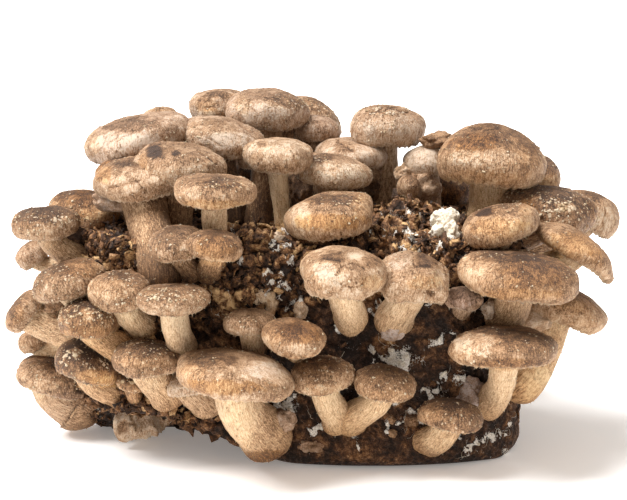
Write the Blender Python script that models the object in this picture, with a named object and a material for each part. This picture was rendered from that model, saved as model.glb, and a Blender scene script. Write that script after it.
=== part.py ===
"""Shiitake log: a pressed sawdust block crowded with shiitake mushrooms.

The block stands on its flat underside. The origin is the middle of that underside, +X runs
along the block to the right, +Y runs away from its best side and +Z is up. Lengths below are
in millimetres, and each mesh is written in metres.
"""

import itertools
import math
from typing import NamedTuple

import bmesh
import bpy
import numpy as np

METRES = 0.001  # one millimetre in Blender's metres

# The block's outline, before its lumps.
BLOCK_LOW = np.array([-120.0, -64.0, 0.0])
BLOCK_HIGH = np.array([105.0, 64.0, 113.0])
EDGE_RADIUS = 11.0  # edges of the top and the underside
CORNER_RADII = {(-1, -1): 52.0, (1, -1): 42.0, (-1, 1): 34.0, (1, 1): 34.0}  # upright corners
FRONT_LEFT_LIFT = 24.0  # how far the foot of the worn corner stands off the ground
WORN_LEFT = (0.0, 0.7)  # where the wear starts and is full, as shares of the way to the left end
WORN_FRONT = (-0.2, 0.7)  # and of the way to the front face
WORN_DOWN = (0.4, 1.0)  # and of the way down
FLAT_FOOT = (0.5, 14.0)  # heights between which the lumps grow to their full size
BLOCK_STEPS = (14, 9, 8)  # faces along X, Y and Z
LUMPS = ((36.0, 3.5), (17.0, 1.8))  # size and height of each order of lumps
BULGES = (  # middle, radius and height of each single bulge or hollow
    ((-30, -62, 97), 27, 7.0),
    ((48, -2, 113), 36, 10.0),
    ((-84, -34, 106), 22, 3.0),
    ((-62, -60, 66), 26, -5.0),
)

# A cap's profile, as shares of its thickness or of its radius.
DOME_RINGS = (62, 30, 0)  # degrees above the widest circle of each ring of corners
WIDEST_AT = 0.36  # height of the widest circle above the margin's lowest point
DOME_POWER = 2.3  # 2 is an ellipse, and more is a flatter top with rounder shoulders
MARGIN_ROLL = 0.15  # how far the margin rolls in under the cap
GILL_DEPTH = 0.26  # height of the gills where they meet the stem
OVAL, LOBED, WAVY = 0.045, 0.03, 0.05  # how far its outline and its margin stray from a circle

GAP = 0.3  # left between pieces that touch
SLIVER = 0.05  # corners nearer than this become one
FLAT_WITHIN = 4.0  # neighbouring faces that differ by less than this many degrees become one
DROOP = 0.9  # how far a stem's foot turns down, against turning straight into the block
TOE_LENGTH, TOE_WIDTH = 0.62, 0.62  # the rounded end of a stem, as shares of its radius there
LONG_STEM = 20.0  # stems longer than this have one more ring of facets
STEM_SWEEP = (0.4, 0.3)  # how far a stem keeps the direction of each end, as shares of its length
CORE_INSET = 30.0  # the block's own middle, from which its lumps and its stems point outwards
LARGE_CAP = 38.0  # caps this wide or more have the most facets round them
SMALL_CAP = 22.0  # and caps narrower than this the fewest
GOLDEN = 0.618034  # spreads the caps' irregular outlines so that no two are alike
NEARLY_ALONG = 0.2  # a cap and a stem closer in direction than this sine need another side vector
SHARP_ANGLE = 50.0  # degrees between faces whose edge stays sharp


class Mushroom(NamedTuple):
    """One mushroom: cap is the middle of its cap, root is where its stem leaves the block.

    Neighbours in the list that carry the same name have grown into one piece.
    """

    name: str
    cap: tuple
    width: float
    thickness: float
    lean: tuple  # degrees to the right and towards the front
    root: tuple
    stem: tuple  # diameter under the cap and at the root


MUSHROOMS = (
    # Front face, from left to right.
    Mushroom("front_big", (-39, -97, 59), 59, 15, (6, 0), (-25, -68, 16), (19, 30)),
    Mushroom("front_hidden", (-57, -68, 43), 26, 10, (-8, 5), (-54, -64, 28), (13, 17)),
    Mushroom("front_upper_left", (-31, -77, 79), 27, 10, (0, 0), (-30, -64, 60), (11, 12)),
    Mushroom("front_upper_round", (-9, -95, 76), 31, 12, (5, 12), (-9, -66, 60), (10, 11)),
    Mushroom("front_twins", (4, -86, 55), 31, 14, (-3, 4), (11, -67, 21), (12, 15)),
    Mushroom("front_twins", (35, -86, 51), 32, 13, (5, 4), (20, -67, 20), (12, 15)),
    Mushroom("front_low", (68, -84, 34), 31, 12, (8, 2), (58, -65, 13), (13, 17)),
    Mushroom("front_right_flat", (94, -86, 69), 56, 14, (0, -2), (88, -59, 31), (15, 17)),
    Mushroom("front_centre_left", (14, -92, 108), 42, 18, (0, 8), (18, -69, 78), (17, 18)),
    Mushroom("front_centre_right", (49, -80, 103), 36, 18, (8, 12), (40, -66, 77), (17, 19)),
    Mushroom("front_right_big", (100, -74, 103), 61, 18, (6, 0), (95, -54, 76), (19, 22)),
    Mushroom("front_right_stunted", (75, -72, 90), 18, 9, (0, 10), (74, -64, 80), (8, 9)),
    # Right end.
    Mushroom("right_low", (126, -32, 76), 46, 15, (20, 0), (110, -40, 39), (14, 27)),
    Mushroom("right_drooping", (132, -40, 107), 45, 12, (29, -2), (106, -28, 90), (14, 16)),
    Mushroom("right_leaning_left", (93, -50, 123), 40, 15, (-14, 2), (90, -44, 109), (15, 16)),
    Mushroom("right_flecked", (121, -5, 121), 49, 19, (6, 2), (103, -4, 102), (16, 18)),
    Mushroom("right_outer", (148, 28, 115), 35, 18, (22, 0), (106, 24, 90), (13, 16)),
    # Top, right half.
    Mushroom("top_great_dome", (92, 5, 150), 58, 28, (3, 2), (91, 6, 114), (22, 24)),
    Mushroom("top_pale_button", (60, 38, 140), 27, 14, (-8, 0), (62, 38, 113), (11, 13)),
    Mushroom("top_behind_dome", (113, 35, 129), 34, 19, (14, 4), (98, 40, 108), (12, 14)),
    Mushroom("top_shaded", (74, 60, 122), 34, 15, (4, 4), (72, 57, 108), (12, 13)),
    Mushroom("top_knob", (50, 20, 129), 12, 10, (0, 8), (50, 20, 120), (7, 8)),
    # Top, middle.
    Mushroom("top_ragged", (41, 50, 156), 39, 19, (2, 2), (38, 52, 111), (12, 19)),
    Mushroom("top_stack_back", (20, 46, 142), 41, 13, (2, 2), (14, 46, 112), (14, 15)),
    Mushroom("top_stack_middle", (10, 6, 140), 39, 14, (8, 0), (12, 4, 113), (15, 16)),
    Mushroom("top_stack_front", (8, -46, 127), 46, 17, (-8, 4), (9, -42, 112), (19, 20)),
    Mushroom("top_tall", (-18, -6, 150), 37, 14, (2, 2), (-16, -2, 113), (12, 9)),
    Mushroom("top_tall", (-26, 8, 146), 25, 11, (0, 0), (-29, 8, 112), (12, 14)),
    Mushroom("top_back_right", (-25, 58, 164), 47, 17, (3, 2), (-16, 50, 112), (18, 19)),
    Mushroom("top_back_right", (0, 64, 152), 28, 12, (4, 0), (3, 54, 111), (15, 18)),
    Mushroom("top_back_hook", (0, 90, 155), 33, 16, (20, 0), (4, 62, 104), (12, 14)),
    Mushroom("top_back_left", (-58, 80, 163), 28, 14, (-5, 0), (-52, 62, 106), (11, 13)),
    # Top, left half.
    Mushroom("top_pale_slant", (-48, 18, 156), 43, 15, (10, 4), (-42, 16, 113), (15, 16)),
    Mushroom("top_left_long", (-93, 22, 154), 55, 17, (-14, 2), (-85, 22, 113), (18, 20)),
    Mushroom("top_left_peeping", (-82, 62, 158), 20, 11, (0, 0), (-76, 56, 109), (9, 11)),
    Mushroom("top_patched", (-68, -24, 149), 45, 16, (4, 6), (-71, -16, 113), (16, 18)),
    Mushroom("top_left_brown", (-99, -6, 141), 30, 14, (-10, 4), (-91, -4, 113), (12, 14)),
    Mushroom("top_left_thick", (-97, -33, 135), 29, 15, (-6, 8), (-83, -38, 110), (16, 17)),
    Mushroom("top_front_table", (-49, -62, 142), 40, 12, (2, 2), (-49, -55, 110), (12, 13)),
    Mushroom("top_front_pair", (-68, -72, 118), 29, 13, (-8, 6), (-61, -60, 99), (11, 12)),
    Mushroom("top_front_pair", (-48, -82, 119), 27, 11, (6, 6), (-52, -63, 99), (11, 12)),
    # Left end.
    Mushroom("left_back_brown", (-119, 10, 119), 38, 16, (3, 2), (-109, 12, 104), (15, 16)),
    Mushroom("left_upper", (-138, -26, 118), 34, 14, (-4, 0), (-116, -24, 94), (13, 15)),
    Mushroom("left_pale", (-150, 6, 95), 19, 11, (-35, 0), (-119, 6, 88), (9, 10)),
    Mushroom("left_speckled", (-124, -48, 94), 38, 14, (-15, 4), (-109, -40, 78), (16, 18)),
    Mushroom("left_middle", (-96, -67, 93), 31, 15, (-4, 8), (-86, -54, 70), (15, 17)),
    Mushroom("left_parasol", (-69, -86, 93), 36, 11, (0, 2), (-66, -64, 62), (13, 15)),
    Mushroom("left_outer", (-150, -20, 71), 25, 11, (-50, 5), (-117, -24, 55), (16, 21)),
    Mushroom("left_outer_small", (-147, -2, 51), 17, 9, (-20, 5), (-118, -4, 46), (9, 11)),
    Mushroom("left_flecked", (-112, -64, 78), 31, 14, (0, 8), (-97, -57, 59), (13, 15)),
    Mushroom("left_dark", (-113, -51, 53), 36, 15, (15, 8), (-100, -44, 33), (14, 17)),
    Mushroom("left_front", (-83, -73, 60), 33, 13, (3, 6), (-73, -62, 37), (16, 18)),
    Mushroom("left_foot", (-134, -9, 33), 40, 14, (8, 4), (-123, -12, 18), (20, 32)),
    Mushroom("left_tiny", (-91, -62, 44), 15, 7, (5, 6), (-90, -56, 34), (7, 8)),
    Mushroom("left_stunted", (-90, -21, 13), 30, 12, (-8, 20), (-88, -12, 18), (15, 16)),
    # Back face.
    Mushroom("back_left", (-70, 94, 78), 50, 17, (-6, -10), (-66, 62, 52), (16, 18)),
    Mushroom("back_middle", (-16, 98, 104), 44, 16, (4, -12), (-14, 62, 80), (15, 16)),
    Mushroom("back_right", (42, 96, 78), 54, 18, (5, -10), (40, 62, 52), (18, 20)),
    Mushroom("back_upper_right", (86, 88, 106), 40, 16, (8, -12), (80, 60, 86), (14, 15)),
    Mushroom("back_low_left", (-104, 84, 42), 36, 14, (-14, -10), (-92, 56, 27), (14, 16)),
    Mushroom("back_low_middle", (-22, 92, 44), 34, 14, (-4, -14), (-20, 62, 27), (13, 15)),
    Mushroom("back_low_right", (90, 88, 40), 38, 15, (10, -10), (80, 58, 25), (14, 16)),
)


def smooth_step(value, start, end):
    """0 before start and 1 after end, with no corner between."""
    share = np.clip((value - start) / (end - start), 0.0, 1.0)
    return share * share * (3.0 - 2.0 * share)


def lattice_noise(points, seed):
    """Smooth noise from -1 to 1: a hashed value at each lattice point, blended between them."""
    cell = np.floor(points).astype(np.int64)
    share = points - cell
    share = share * share * (3.0 - 2.0 * share)
    total = np.zeros(len(points))
    for corner in itertools.product((0, 1), repeat=3):
        x, y, z = (cell + corner).T
        mixed = (x * 374761393 + y * 668265263 + z * 1442695041 + seed * 974711) & 0xFFFFFFFF
        mixed = ((mixed ^ (mixed >> 13)) * 1274126177) & 0xFFFFFFFF
        value = (mixed ^ (mixed >> 16)) / 0x7FFFFFFF - 1.0
        total += value * np.where(corner, share, 1.0 - share).prod(axis=1)
    return total


def cube_grid(steps):
    """Points from -1 to 1 and quads of a cube's skin, with that many faces along each axis."""
    index = {}
    quads = []
    for axis, side in itertools.product(range(3), (0, 1)):
        across, along = (axis + 1) % 3, (axis + 2) % 3
        for i, j in itertools.product(range(steps[across]), range(steps[along])):
            corners = []
            for di, dj in ((0, 0), (1, 0), (1, 1), (0, 1)):
                place = [0, 0, 0]
                place[axis] = side * steps[axis]
                place[across] = i + di
                place[along] = j + dj
                corners.append(index.setdefault(tuple(place), len(index)))
            quads.append(corners if side else corners[::-1])
    return np.array(list(index), float) / np.array(steps) * 2.0 - 1.0, quads


def block_surface(cube):
    """Bends a cube's skin into the block.

    A box with round edges first, then each upright corner is turned round by squeezing its
    square of the plan into a quarter disc, and last come the lumps.
    """
    middle = (BLOCK_LOW + BLOCK_HIGH) / 2
    half = (BLOCK_HIGH - BLOCK_LOW) / 2
    box = cube * half
    core = np.clip(box, EDGE_RADIUS - half, half - EDGE_RADIUS)
    reach = box - core
    points = core + reach * (EDGE_RADIUS / np.linalg.norm(reach, axis=1))[:, None]
    for signs, radius in CORNER_RADII.items():
        start = half[:2] - radius
        over = (points[:, :2] * signs - start) / radius
        corner = (over > 0).all(axis=1)
        a, b = over[corner].T
        round_corner = np.stack([a * np.sqrt(1 - b * b / 2), b * np.sqrt(1 - a * a / 2)], axis=1)
        points[corner, :2] = (start + round_corner * radius) * signs
    worn = smooth_step(-cube[:, 0], *WORN_LEFT) * smooth_step(-cube[:, 1], *WORN_FRONT)
    points += middle
    points[:, 2] += FRONT_LEFT_LIFT * worn * smooth_step(-cube[:, 2], *WORN_DOWN)
    raised = sum(
        height * lattice_noise(points / size, order)
        for order, (size, height) in enumerate(LUMPS)
    )
    for centre, radius, height in BULGES:
        away = np.linalg.norm(points - centre, axis=1)
        raised += height * smooth_step(-away, -radius, 0.0)
    foot = smooth_step(points[:, 2], *FLAT_FOOT)
    return points + outward(points) * (raised * foot)[:, None]


def outward(points):
    """The direction straight out of the block, near each point of its surface."""
    core = np.clip(points, BLOCK_LOW + CORE_INSET, BLOCK_HIGH - CORE_INSET)
    away = np.asarray(points, float) - core
    return away / np.linalg.norm(away, axis=-1, keepdims=True)


def unit(vector):
    return vector / np.linalg.norm(vector)


def cap_axis(lean):
    """The direction that a cap faces, for its leans in degrees to the right and to the front."""
    right, front = (math.radians(angle) for angle in lean)
    upright = math.cos(right)
    return np.array([math.sin(right), -math.sin(front) * upright, math.cos(front) * upright])


def ring(centre, direction, side, radius, angles):
    """Points round a centre, in the plane across a direction, counted from a side vector."""
    first = unit(side - direction * (side @ direction))
    second = np.cross(direction, first)
    turn = np.cos(angles)[:, None] * first + np.sin(angles)[:, None] * second
    return centre + turn * np.asarray(radius).reshape(-1, 1)


def cap_profile():
    """(share of radius, share of thickness) of each ring of a cap, from the top to the margin."""
    rings = []
    for degrees in DOME_RINGS:
        angle = math.radians(degrees)
        out = math.cos(angle) ** (2 / DOME_POWER)
        up = math.sin(angle) ** (2 / DOME_POWER)
        rings.append((out, WIDEST_AT + (1 - WIDEST_AT) * up))
    rings.append((1 - MARGIN_ROLL, 0.0))
    return rings


def bezier(points, share):
    """A point of a cubic curve, and its direction there."""
    a, b, c, d = points
    back = 1.0 - share
    place = back**3 * a + 3 * back**2 * share * b + 3 * back * share**2 * c + share**3 * d
    heading = back**2 * (b - a) + 2 * back * share * (c - b) + share**2 * (d - c)
    return place, unit(heading)


def facets_round(width):
    """How many facets a cap of this width has round it, an even number."""
    if width >= LARGE_CAP:
        return 12
    return 8 if width < SMALL_CAP else 10


def mushroom_mesh(mushroom, number):
    """Points and faces: a domed cap with a rolled margin, and a stem that bends into the block."""
    sides = facets_round(mushroom.width)
    angles = np.arange(sides) * 2 * math.pi / sides
    axis = cap_axis(mushroom.lean)
    out = outward(mushroom.root)
    side = np.cross(axis, out)
    if np.linalg.norm(side) < NEARLY_ALONG:
        side = np.cross(axis, [0.0, 1.0, 0.0])
    side = unit(side)

    phases = [2 * math.pi * GOLDEN * (number + 1) * k for k in (1, 2, 3)]
    outline = 1 + OVAL * np.sin(2 * angles + phases[0]) + LOBED * np.sin(3 * angles + phases[1])
    wave = WAVY * mushroom.thickness * np.sin(2 * angles + phases[2])
    foot = np.array(mushroom.cap) - axis * mushroom.thickness / 2
    points = [foot + axis * mushroom.thickness]
    for share_out, share_up in cap_profile():
        flat = ring(foot, axis, side, mushroom.width / 2 * share_out * outline, angles)
        height = share_up * mushroom.thickness + wave * share_out**2
        points.extend(flat + axis * height[:, None])

    stem_sides = sides // 2
    start = foot + axis * mushroom.thickness * GILL_DEPTH
    root = np.array(mushroom.root, float)
    reach = np.linalg.norm(root - start)
    inward = unit(np.array([0.0, 0.0, -DROOP]) - out)
    sweep_top, sweep_root = (reach * share for share in STEM_SWEEP)
    curve = (start, start - axis * sweep_top, root - inward * sweep_root, root)
    top_radius, root_radius = (diameter / 2 for diameter in mushroom.stem)
    shares = (0.0, 0.5, 1.0) if reach > LONG_STEM else (0.0, 1.0)
    for share in shares:
        place, heading = bezier(curve, share)
        radius = top_radius + (root_radius - top_radius) * share
        points.extend(ring(place, -heading, side, radius, angles[::2]))
    toe = root + inward * root_radius * TOE_LENGTH
    points.extend(ring(toe, -inward, side, root_radius * TOE_WIDTH, angles[::2]))
    stem_rings = len(shares) + 1

    faces = [(0, 1 + k, 1 + (k + 1) % sides) for k in range(sides)]
    cap_rings = len(cap_profile())
    for row in range(cap_rings - 1):
        upper, lower = 1 + row * sides, 1 + (row + 1) * sides
        for k in range(sides):
            after = (k + 1) % sides
            faces.append((upper + k, lower + k, lower + after, upper + after))
    margin = 1 + (cap_rings - 1) * sides
    neck = margin + sides
    for k in range(stem_sides):
        after = (k + 1) % stem_sides
        left, middle, right = margin + 2 * k, margin + 2 * k + 1, margin + (2 * k + 2) % sides
        faces.append((left, neck + k, middle))
        faces.append((middle, neck + k, neck + after))
        faces.append((middle, neck + after, right))
    for row in range(stem_rings - 1):
        upper, lower = neck + row * stem_sides, neck + (row + 1) * stem_sides
        for k in range(stem_sides):
            after = (k + 1) % stem_sides
            faces.append((upper + k, lower + k, lower + after, upper + after))
    last = neck + (stem_rings - 1) * stem_sides
    faces.append(tuple(last + k for k in reversed(range(stem_sides))))
    points = np.array(points)
    points[:, 2] = np.maximum(points[:, 2], GAP)
    return points, faces


def material(name, colour, roughness):
    """A plain Principled material."""
    made = bpy.data.materials.new(name)
    made.use_nodes = True
    shader = made.node_tree.nodes["Principled BSDF"]
    shader.inputs["Base Color"].default_value = (*colour, 1.0)
    shader.inputs["Roughness"].default_value = roughness
    return made


def largest_body(mesh):
    """The vertices of the largest of a mesh's separate bodies."""
    waiting = set(mesh.verts)
    largest = set()
    while waiting:
        body = {waiting.pop()}
        edge_of_body = set(body)
        while edge_of_body:
            edge_of_body = {
                edge.other_vert(vertex)
                for vertex in edge_of_body
                for edge in vertex.link_edges
            } - body
            body |= edge_of_body
        waiting -= body
        largest = max(largest, body, key=len)
    return largest


def tidy(mesh_data):
    """Drops the crumbs and slivers that cuts leave, and splits every face into triangles."""
    mesh = bmesh.new()
    mesh.from_mesh(mesh_data)
    bmesh.ops.remove_doubles(mesh, verts=mesh.verts, dist=SLIVER * METRES)
    bmesh.ops.dissolve_degenerate(mesh, edges=mesh.edges, dist=SLIVER * METRES)
    kept = largest_body(mesh)
    bmesh.ops.delete(mesh, geom=[v for v in mesh.verts if v not in kept], context="VERTS")
    bmesh.ops.dissolve_limit(
        mesh, angle_limit=math.radians(FLAT_WITHIN), verts=mesh.verts, edges=mesh.edges
    )
    bmesh.ops.triangulate(mesh, faces=mesh.faces)
    mesh.to_mesh(mesh_data)
    mesh.free()


def solid(name, points, faces, finish):
    """A new object from points in millimetres."""
    mesh = bpy.data.meshes.new(name)
    mesh.from_pydata((points * METRES).tolist(), [], faces)
    mesh.materials.append(finish)
    tidy(mesh)
    made = bpy.data.objects.new(name, mesh)
    bpy.context.scene.collection.objects.link(made)
    return made


def swollen_copy(source):
    """A hidden copy that stands off its source by the gap, to cut what touches it."""
    made = source.copy()
    made.data = source.data.copy()
    made.name = source.name + "_cutter"
    for vertex, normal in zip(made.data.vertices, [v.normal.copy() for v in source.data.vertices]):
        vertex.co += normal * GAP * METRES
    made.hide_render = True
    made.display_type = "WIRE"
    bpy.context.scene.collection.objects.link(made)
    return made


def combine(target, other, operation):
    """Cuts the other object from the target or joins it on, as the target's own mesh."""
    modifier = target.modifiers.new("combine", "BOOLEAN")
    modifier.operation = operation
    modifier.object = other
    modifier.use_self = True
    bpy.context.view_layer.update()
    evaluated = target.evaluated_get(bpy.context.evaluated_depsgraph_get())
    mesh = bpy.data.meshes.new_from_object(evaluated)
    target.modifiers.remove(modifier)
    tidy(mesh)
    target.data = mesh


def bounds(thing):
    """Lowest and highest corner of an object's mesh."""
    corners = np.array([vertex.co for vertex in thing.data.vertices])
    return corners.min(axis=0), corners.max(axis=0)


def may_touch(first, second):
    (low_a, high_a), (low_b, high_b) = first, second
    return bool((low_a < high_b).all() and (low_b < high_a).all())


def clear_scene():
    for thing in list(bpy.data.objects):
        bpy.data.objects.remove(thing)


def build():
    clear_scene()
    bark = material("spent_sawdust", (0.07, 0.035, 0.018), 0.85)
    flesh = material("shiitake", (0.50, 0.33, 0.20), 0.7)

    cube, quads = cube_grid(BLOCK_STEPS)
    block = solid("sawdust_block", block_surface(cube), quads, bark)
    cutters = [(bounds(block), swollen_copy(block))]
    numbered = enumerate(MUSHROOMS)
    for name, group in itertools.groupby(numbered, key=lambda item: item[1].name):
        made = None
        for number, mushroom in group:
            grown = solid("mushroom_" + name, *mushroom_mesh(mushroom, number), flesh)
            if made:
                combine(made, grown, "UNION")
                bpy.data.objects.remove(grown)
            else:
                made = grown
        for box, cutter in cutters:
            if may_touch(box, bounds(made)):
                combine(made, cutter, "DIFFERENCE")
        cutters.append((bounds(made), swollen_copy(made)))
    for thing in bpy.data.objects:
        if not thing.hide_render:
            thing.data.shade_smooth()
            thing.data.set_sharp_from_angle(angle=math.radians(SHARP_ANGLE))


build()
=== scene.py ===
"""Dresses the shiitake log: a pressed sawdust block crowded with shiitake mushrooms.

Sizes are in millimetres unless a name says otherwise, and meshes are written in metres.
"""

import itertools
import math
from typing import NamedTuple

import bpy
import numpy as np
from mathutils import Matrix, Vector


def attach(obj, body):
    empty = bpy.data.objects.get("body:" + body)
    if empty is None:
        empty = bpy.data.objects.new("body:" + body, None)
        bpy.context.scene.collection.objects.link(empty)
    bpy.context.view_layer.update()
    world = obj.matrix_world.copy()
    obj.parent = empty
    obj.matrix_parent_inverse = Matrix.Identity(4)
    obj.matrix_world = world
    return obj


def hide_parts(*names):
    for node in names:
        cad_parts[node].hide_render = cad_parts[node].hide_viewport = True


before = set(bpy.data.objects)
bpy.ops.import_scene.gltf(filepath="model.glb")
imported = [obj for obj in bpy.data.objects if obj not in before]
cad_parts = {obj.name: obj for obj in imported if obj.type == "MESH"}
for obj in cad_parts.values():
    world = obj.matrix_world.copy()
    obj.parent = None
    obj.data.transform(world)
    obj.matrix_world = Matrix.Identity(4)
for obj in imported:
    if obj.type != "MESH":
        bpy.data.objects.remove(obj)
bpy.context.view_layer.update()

# The view of the photograph: twelve degrees above the horizon, level with the middle of the
# growing block, and from so far that the near and the far mushrooms keep nearly one scale.
LOOKED_AT = np.array([0.0, 0.0, 98.0])
VIEW_DISTANCE = 1400.0
VIEW_HEIGHT = math.radians(12.0)
PIXEL = 0.52  # millimetres at the point looked at
PICTURE = (627, 500)
SENSOR, SIGHT = 36.0, 20.0  # the camera's sensor, and how many metres it sees
METRES = 0.001
TO_VIEWER = np.array([0.0, -math.cos(VIEW_HEIGHT), math.sin(VIEW_HEIGHT)])
UP_IN_VIEW = np.array([0.0, math.sin(VIEW_HEIGHT), math.cos(VIEW_HEIGHT)])


def in_picture(points):
    """Where points appear: from the middle of the picture, their place across and up in the view,
    over their distance."""
    away = points - LOOKED_AT
    nearness = VIEW_DISTANCE / (VIEW_DISTANCE - away @ TO_VIEWER)
    across = PICTURE[0] / 2 + away[..., 0] / PIXEL * nearness
    down = PICTURE[1] / 2 - away @ UP_IN_VIEW / PIXEL * nearness
    return np.stack([across, down], axis=-1)


def placed(across, down, y):
    """The point at the depth y that appears at a place of the picture: its height and its nearness
    are found from each other in a few rounds."""
    z = LOOKED_AT[2]
    for _ in range(4):
        away = np.array([0.0, y, z]) - LOOKED_AT
        nearness = VIEW_DISTANCE / (VIEW_DISTANCE - away @ TO_VIEWER)
        up = (PICTURE[1] / 2 - down) * PIXEL / nearness
        z = LOOKED_AT[2] + (up - y * UP_IN_VIEW[1]) / UP_IN_VIEW[2]
    return np.array([(across - PICTURE[0] / 2) * PIXEL / nearness, y, z])


def put(name, data):
    """A new object with this data, in the scene and at its origin."""
    made = bpy.data.objects.new(name, data)
    bpy.context.scene.collection.objects.link(made)
    return made


def aim(thing, towards):
    """Turns a camera or a lamp from its own -Z into a direction, with Y as near up as that leaves."""
    thing.rotation_euler = Vector(towards).to_track_quat("-Z", "Y").to_euler()


camera = put("camera", bpy.data.cameras.new("camera"))
camera.data.sensor_width = SENSOR
camera.data.lens = SENSOR * VIEW_DISTANCE / (PICTURE[0] * PIXEL)
camera.data.clip_end = SIGHT
camera.location = (LOOKED_AT + TO_VIEWER * VIEW_DISTANCE) * METRES
aim(camera, -TO_VIEWER)
bpy.context.scene.camera = camera

# The growing block: sawdust pressed into a loaf and bound by threads of mycelium. It has aged to
# a dark crust that flakes off in chips, and white mycelium shows on it in patches. Its front left
# foot has worn away, so that the corner stands off the ground.
BLOCK_LOW = np.array([-120.0, -64.0, 0.0])
BLOCK_HIGH = np.array([105.0, 64.0, 113.0])
EDGE_RADIUS = 11.0
CORNER_RADII = {(-1, -1): 52.0, (1, -1): 42.0, (-1, 1): 34.0, (1, 1): 34.0}
FRONT_LEFT_LIFT = 24.0
CORE_INSET = 30.0
BLOCK_STEPS = np.array([180, 104, 90])
LUMPS = ((3.5, 36.0, 0), (1.8, 17.0, 1))  # height, size and seed of each order of the loaf's lumps
BULGES = (  # middle, radius and height
    ((-30, -62, 97), 27, 7.0), ((48, -2, 113), 36, 10.0), ((-84, -28, 108), 20, 3.0),
    ((-85, -58, 106), 17, -8.0), ((-62, -60, 66), 26, -5.0),
)
BELLY, CORNER_BULGE = 9.0, 4.0  # how far the foot bulges forward, and at the lower right to the side
CRUMBS = ((9.5, 5.0), (4.4, 2.8))  # size and height of the broken crust's plates
LOWEST_LOOSENESS = 0.36
MOULD_THICKNESS = 1.3
LIGHT_CRUST = (  # across, down and radius in the picture of the crust's freshly broken places
    (256, 280, 62), (420, 222, 50), (110, 245, 50), (330, 250, 40), (165, 275, 30),
)
MOULD_PATCHES = (  # across, down and radius in the picture of each patch of mycelium
    (449, 220, 15), (447, 240, 11), (412, 243, 11), (277, 286, 10), (271, 306, 7), (300, 309, 7),
    (400, 360, 14), (370, 353, 5), (438, 341, 8), (428, 392, 6), (437, 381, 4), (283, 404, 8),
    (314, 428, 6), (354, 438, 6), (412, 420, 7), (392, 433, 5), (390, 420, 5), (312, 446, 6),
    (470, 447, 5), (488, 444, 6), (505, 436, 6), (512, 425, 4), (350, 400, 5), (385, 395, 6),
    (330, 408, 5), (470, 410, 7), (456, 380, 8), (192, 402, 4), (278, 243, 6), (290, 262, 5),
    (250, 345, 5), (345, 330, 4), (455, 300, 7), (380, 312, 6), (435, 300, 6), (500, 400, 5),
    (238, 256, 6), (262, 302, 5), (405, 205, 6), (427, 212, 5), (382, 232, 5), (350, 270, 4),
)
CRUST_COLOURS = (  # near black, reddish brown and the pale wood of fresh breaks
    (0.12, (0.011, 0.004, 0.001)), (0.38, (0.056, 0.022, 0.007)),
    (0.62, (0.205, 0.092, 0.034)), (0.95, (0.580, 0.360, 0.165)),
)
MOULD_COLOURS = ((0.28, (0.42, 0.33, 0.25)), (0.56, (0.82, 0.77, 0.69)))


def smooth_step(value, start, end):
    """0 before start and 1 after end, on the cubic 3x^2 - 2x^3 between them."""
    share = np.clip((value - start) / (end - start), 0.0, 1.0)
    return share * share * (3.0 - 2.0 * share)


def hashed(lattice, seed):
    """A value from -1 to 1 for each whole-number point, by multiplying and mixing its bits."""
    x, y, z = np.moveaxis(lattice, -1, 0)
    mixed = (x * 374761393 + y * 668265263 + z * 1442695041 + seed * 974711) & 0xFFFFFFFF
    mixed = ((mixed ^ (mixed >> 13)) * 1274126177) & 0xFFFFFFFF
    return (mixed ^ (mixed >> 16)) / 0x7FFFFFFF - 1.0


def lattice_noise(points, seed):
    """Smooth noise from -1 to 1: a hashed value at each lattice point, blended between them."""
    cell = np.floor(points).astype(np.int64)
    share = smooth_step(points - cell, 0.0, 1.0)
    total = np.zeros(points.shape[:-1])
    for corner in itertools.product((0, 1), repeat=3):
        weight = np.where(corner, share, 1.0 - share).prod(axis=-1)
        total += hashed(cell + corner, seed) * weight
    return total


def layered(points, *orders):
    """Orders of smooth noise added up, each with its height, its size and its seed."""
    return sum(height * lattice_noise(points / size, seed) for height, size, seed in orders)


def broken_plates(points, seed):
    """A crust of plates: each point belongs to the nearest of one scattered point per cell, and
    takes its height from -1 to 1. Also the gap from 0 at a crack to 1 inside a plate."""
    cell = np.floor(points).astype(np.int64)
    nearest = np.full(points.shape[:-1], 9.0)
    second = nearest.copy()
    height = np.zeros_like(nearest)
    for offset in itertools.product((-1, 0, 1), repeat=3):
        there = cell + offset
        middle = there + 0.5 + 0.45 * np.stack([hashed(there, seed + k) for k in range(3)], axis=-1)
        away = np.linalg.norm(points - middle, axis=-1)
        nearer = away < nearest
        second = np.where(nearer, nearest, np.minimum(second, away))
        height = np.where(nearer, hashed(there, seed + 3), height)
        nearest = np.minimum(nearest, away)
    return height, np.clip((second - nearest) * 3.0, 0.0, 1.0)


def cube_skin(steps):
    """Corners from -1 to 1 and quads of a cube's skin: six square grids whose shared corners are
    made one by their whole-number places."""
    places, quads, count = [], [], 0
    for axis, side in itertools.product(range(3), (0, 1)):
        across, along = (axis + 1) % 3, (axis + 2) % 3
        i, j = np.meshgrid(np.arange(steps[across] + 1), np.arange(steps[along] + 1), indexing="ij")
        place = np.empty((*i.shape, 3), int)
        place[..., axis] = side * steps[axis]
        place[..., across] = i
        place[..., along] = j
        number = count + np.arange(i.size).reshape(i.shape)
        quad = np.stack([number[:-1, :-1], number[1:, :-1], number[1:, 1:], number[:-1, 1:]], axis=-1)
        quad = quad.reshape(-1, 4)
        quads.append(quad if side else quad[:, ::-1])
        places.append(place.reshape(-1, 3))
        count += i.size
    places, index = np.unique(np.concatenate(places), axis=0, return_inverse=True)
    return places / steps * 2.0 - 1.0, index.reshape(-1)[np.concatenate(quads)]


def unit(vectors):
    """Vectors over their lengths."""
    return vectors / np.linalg.norm(vectors, axis=-1, keepdims=True)


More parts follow.
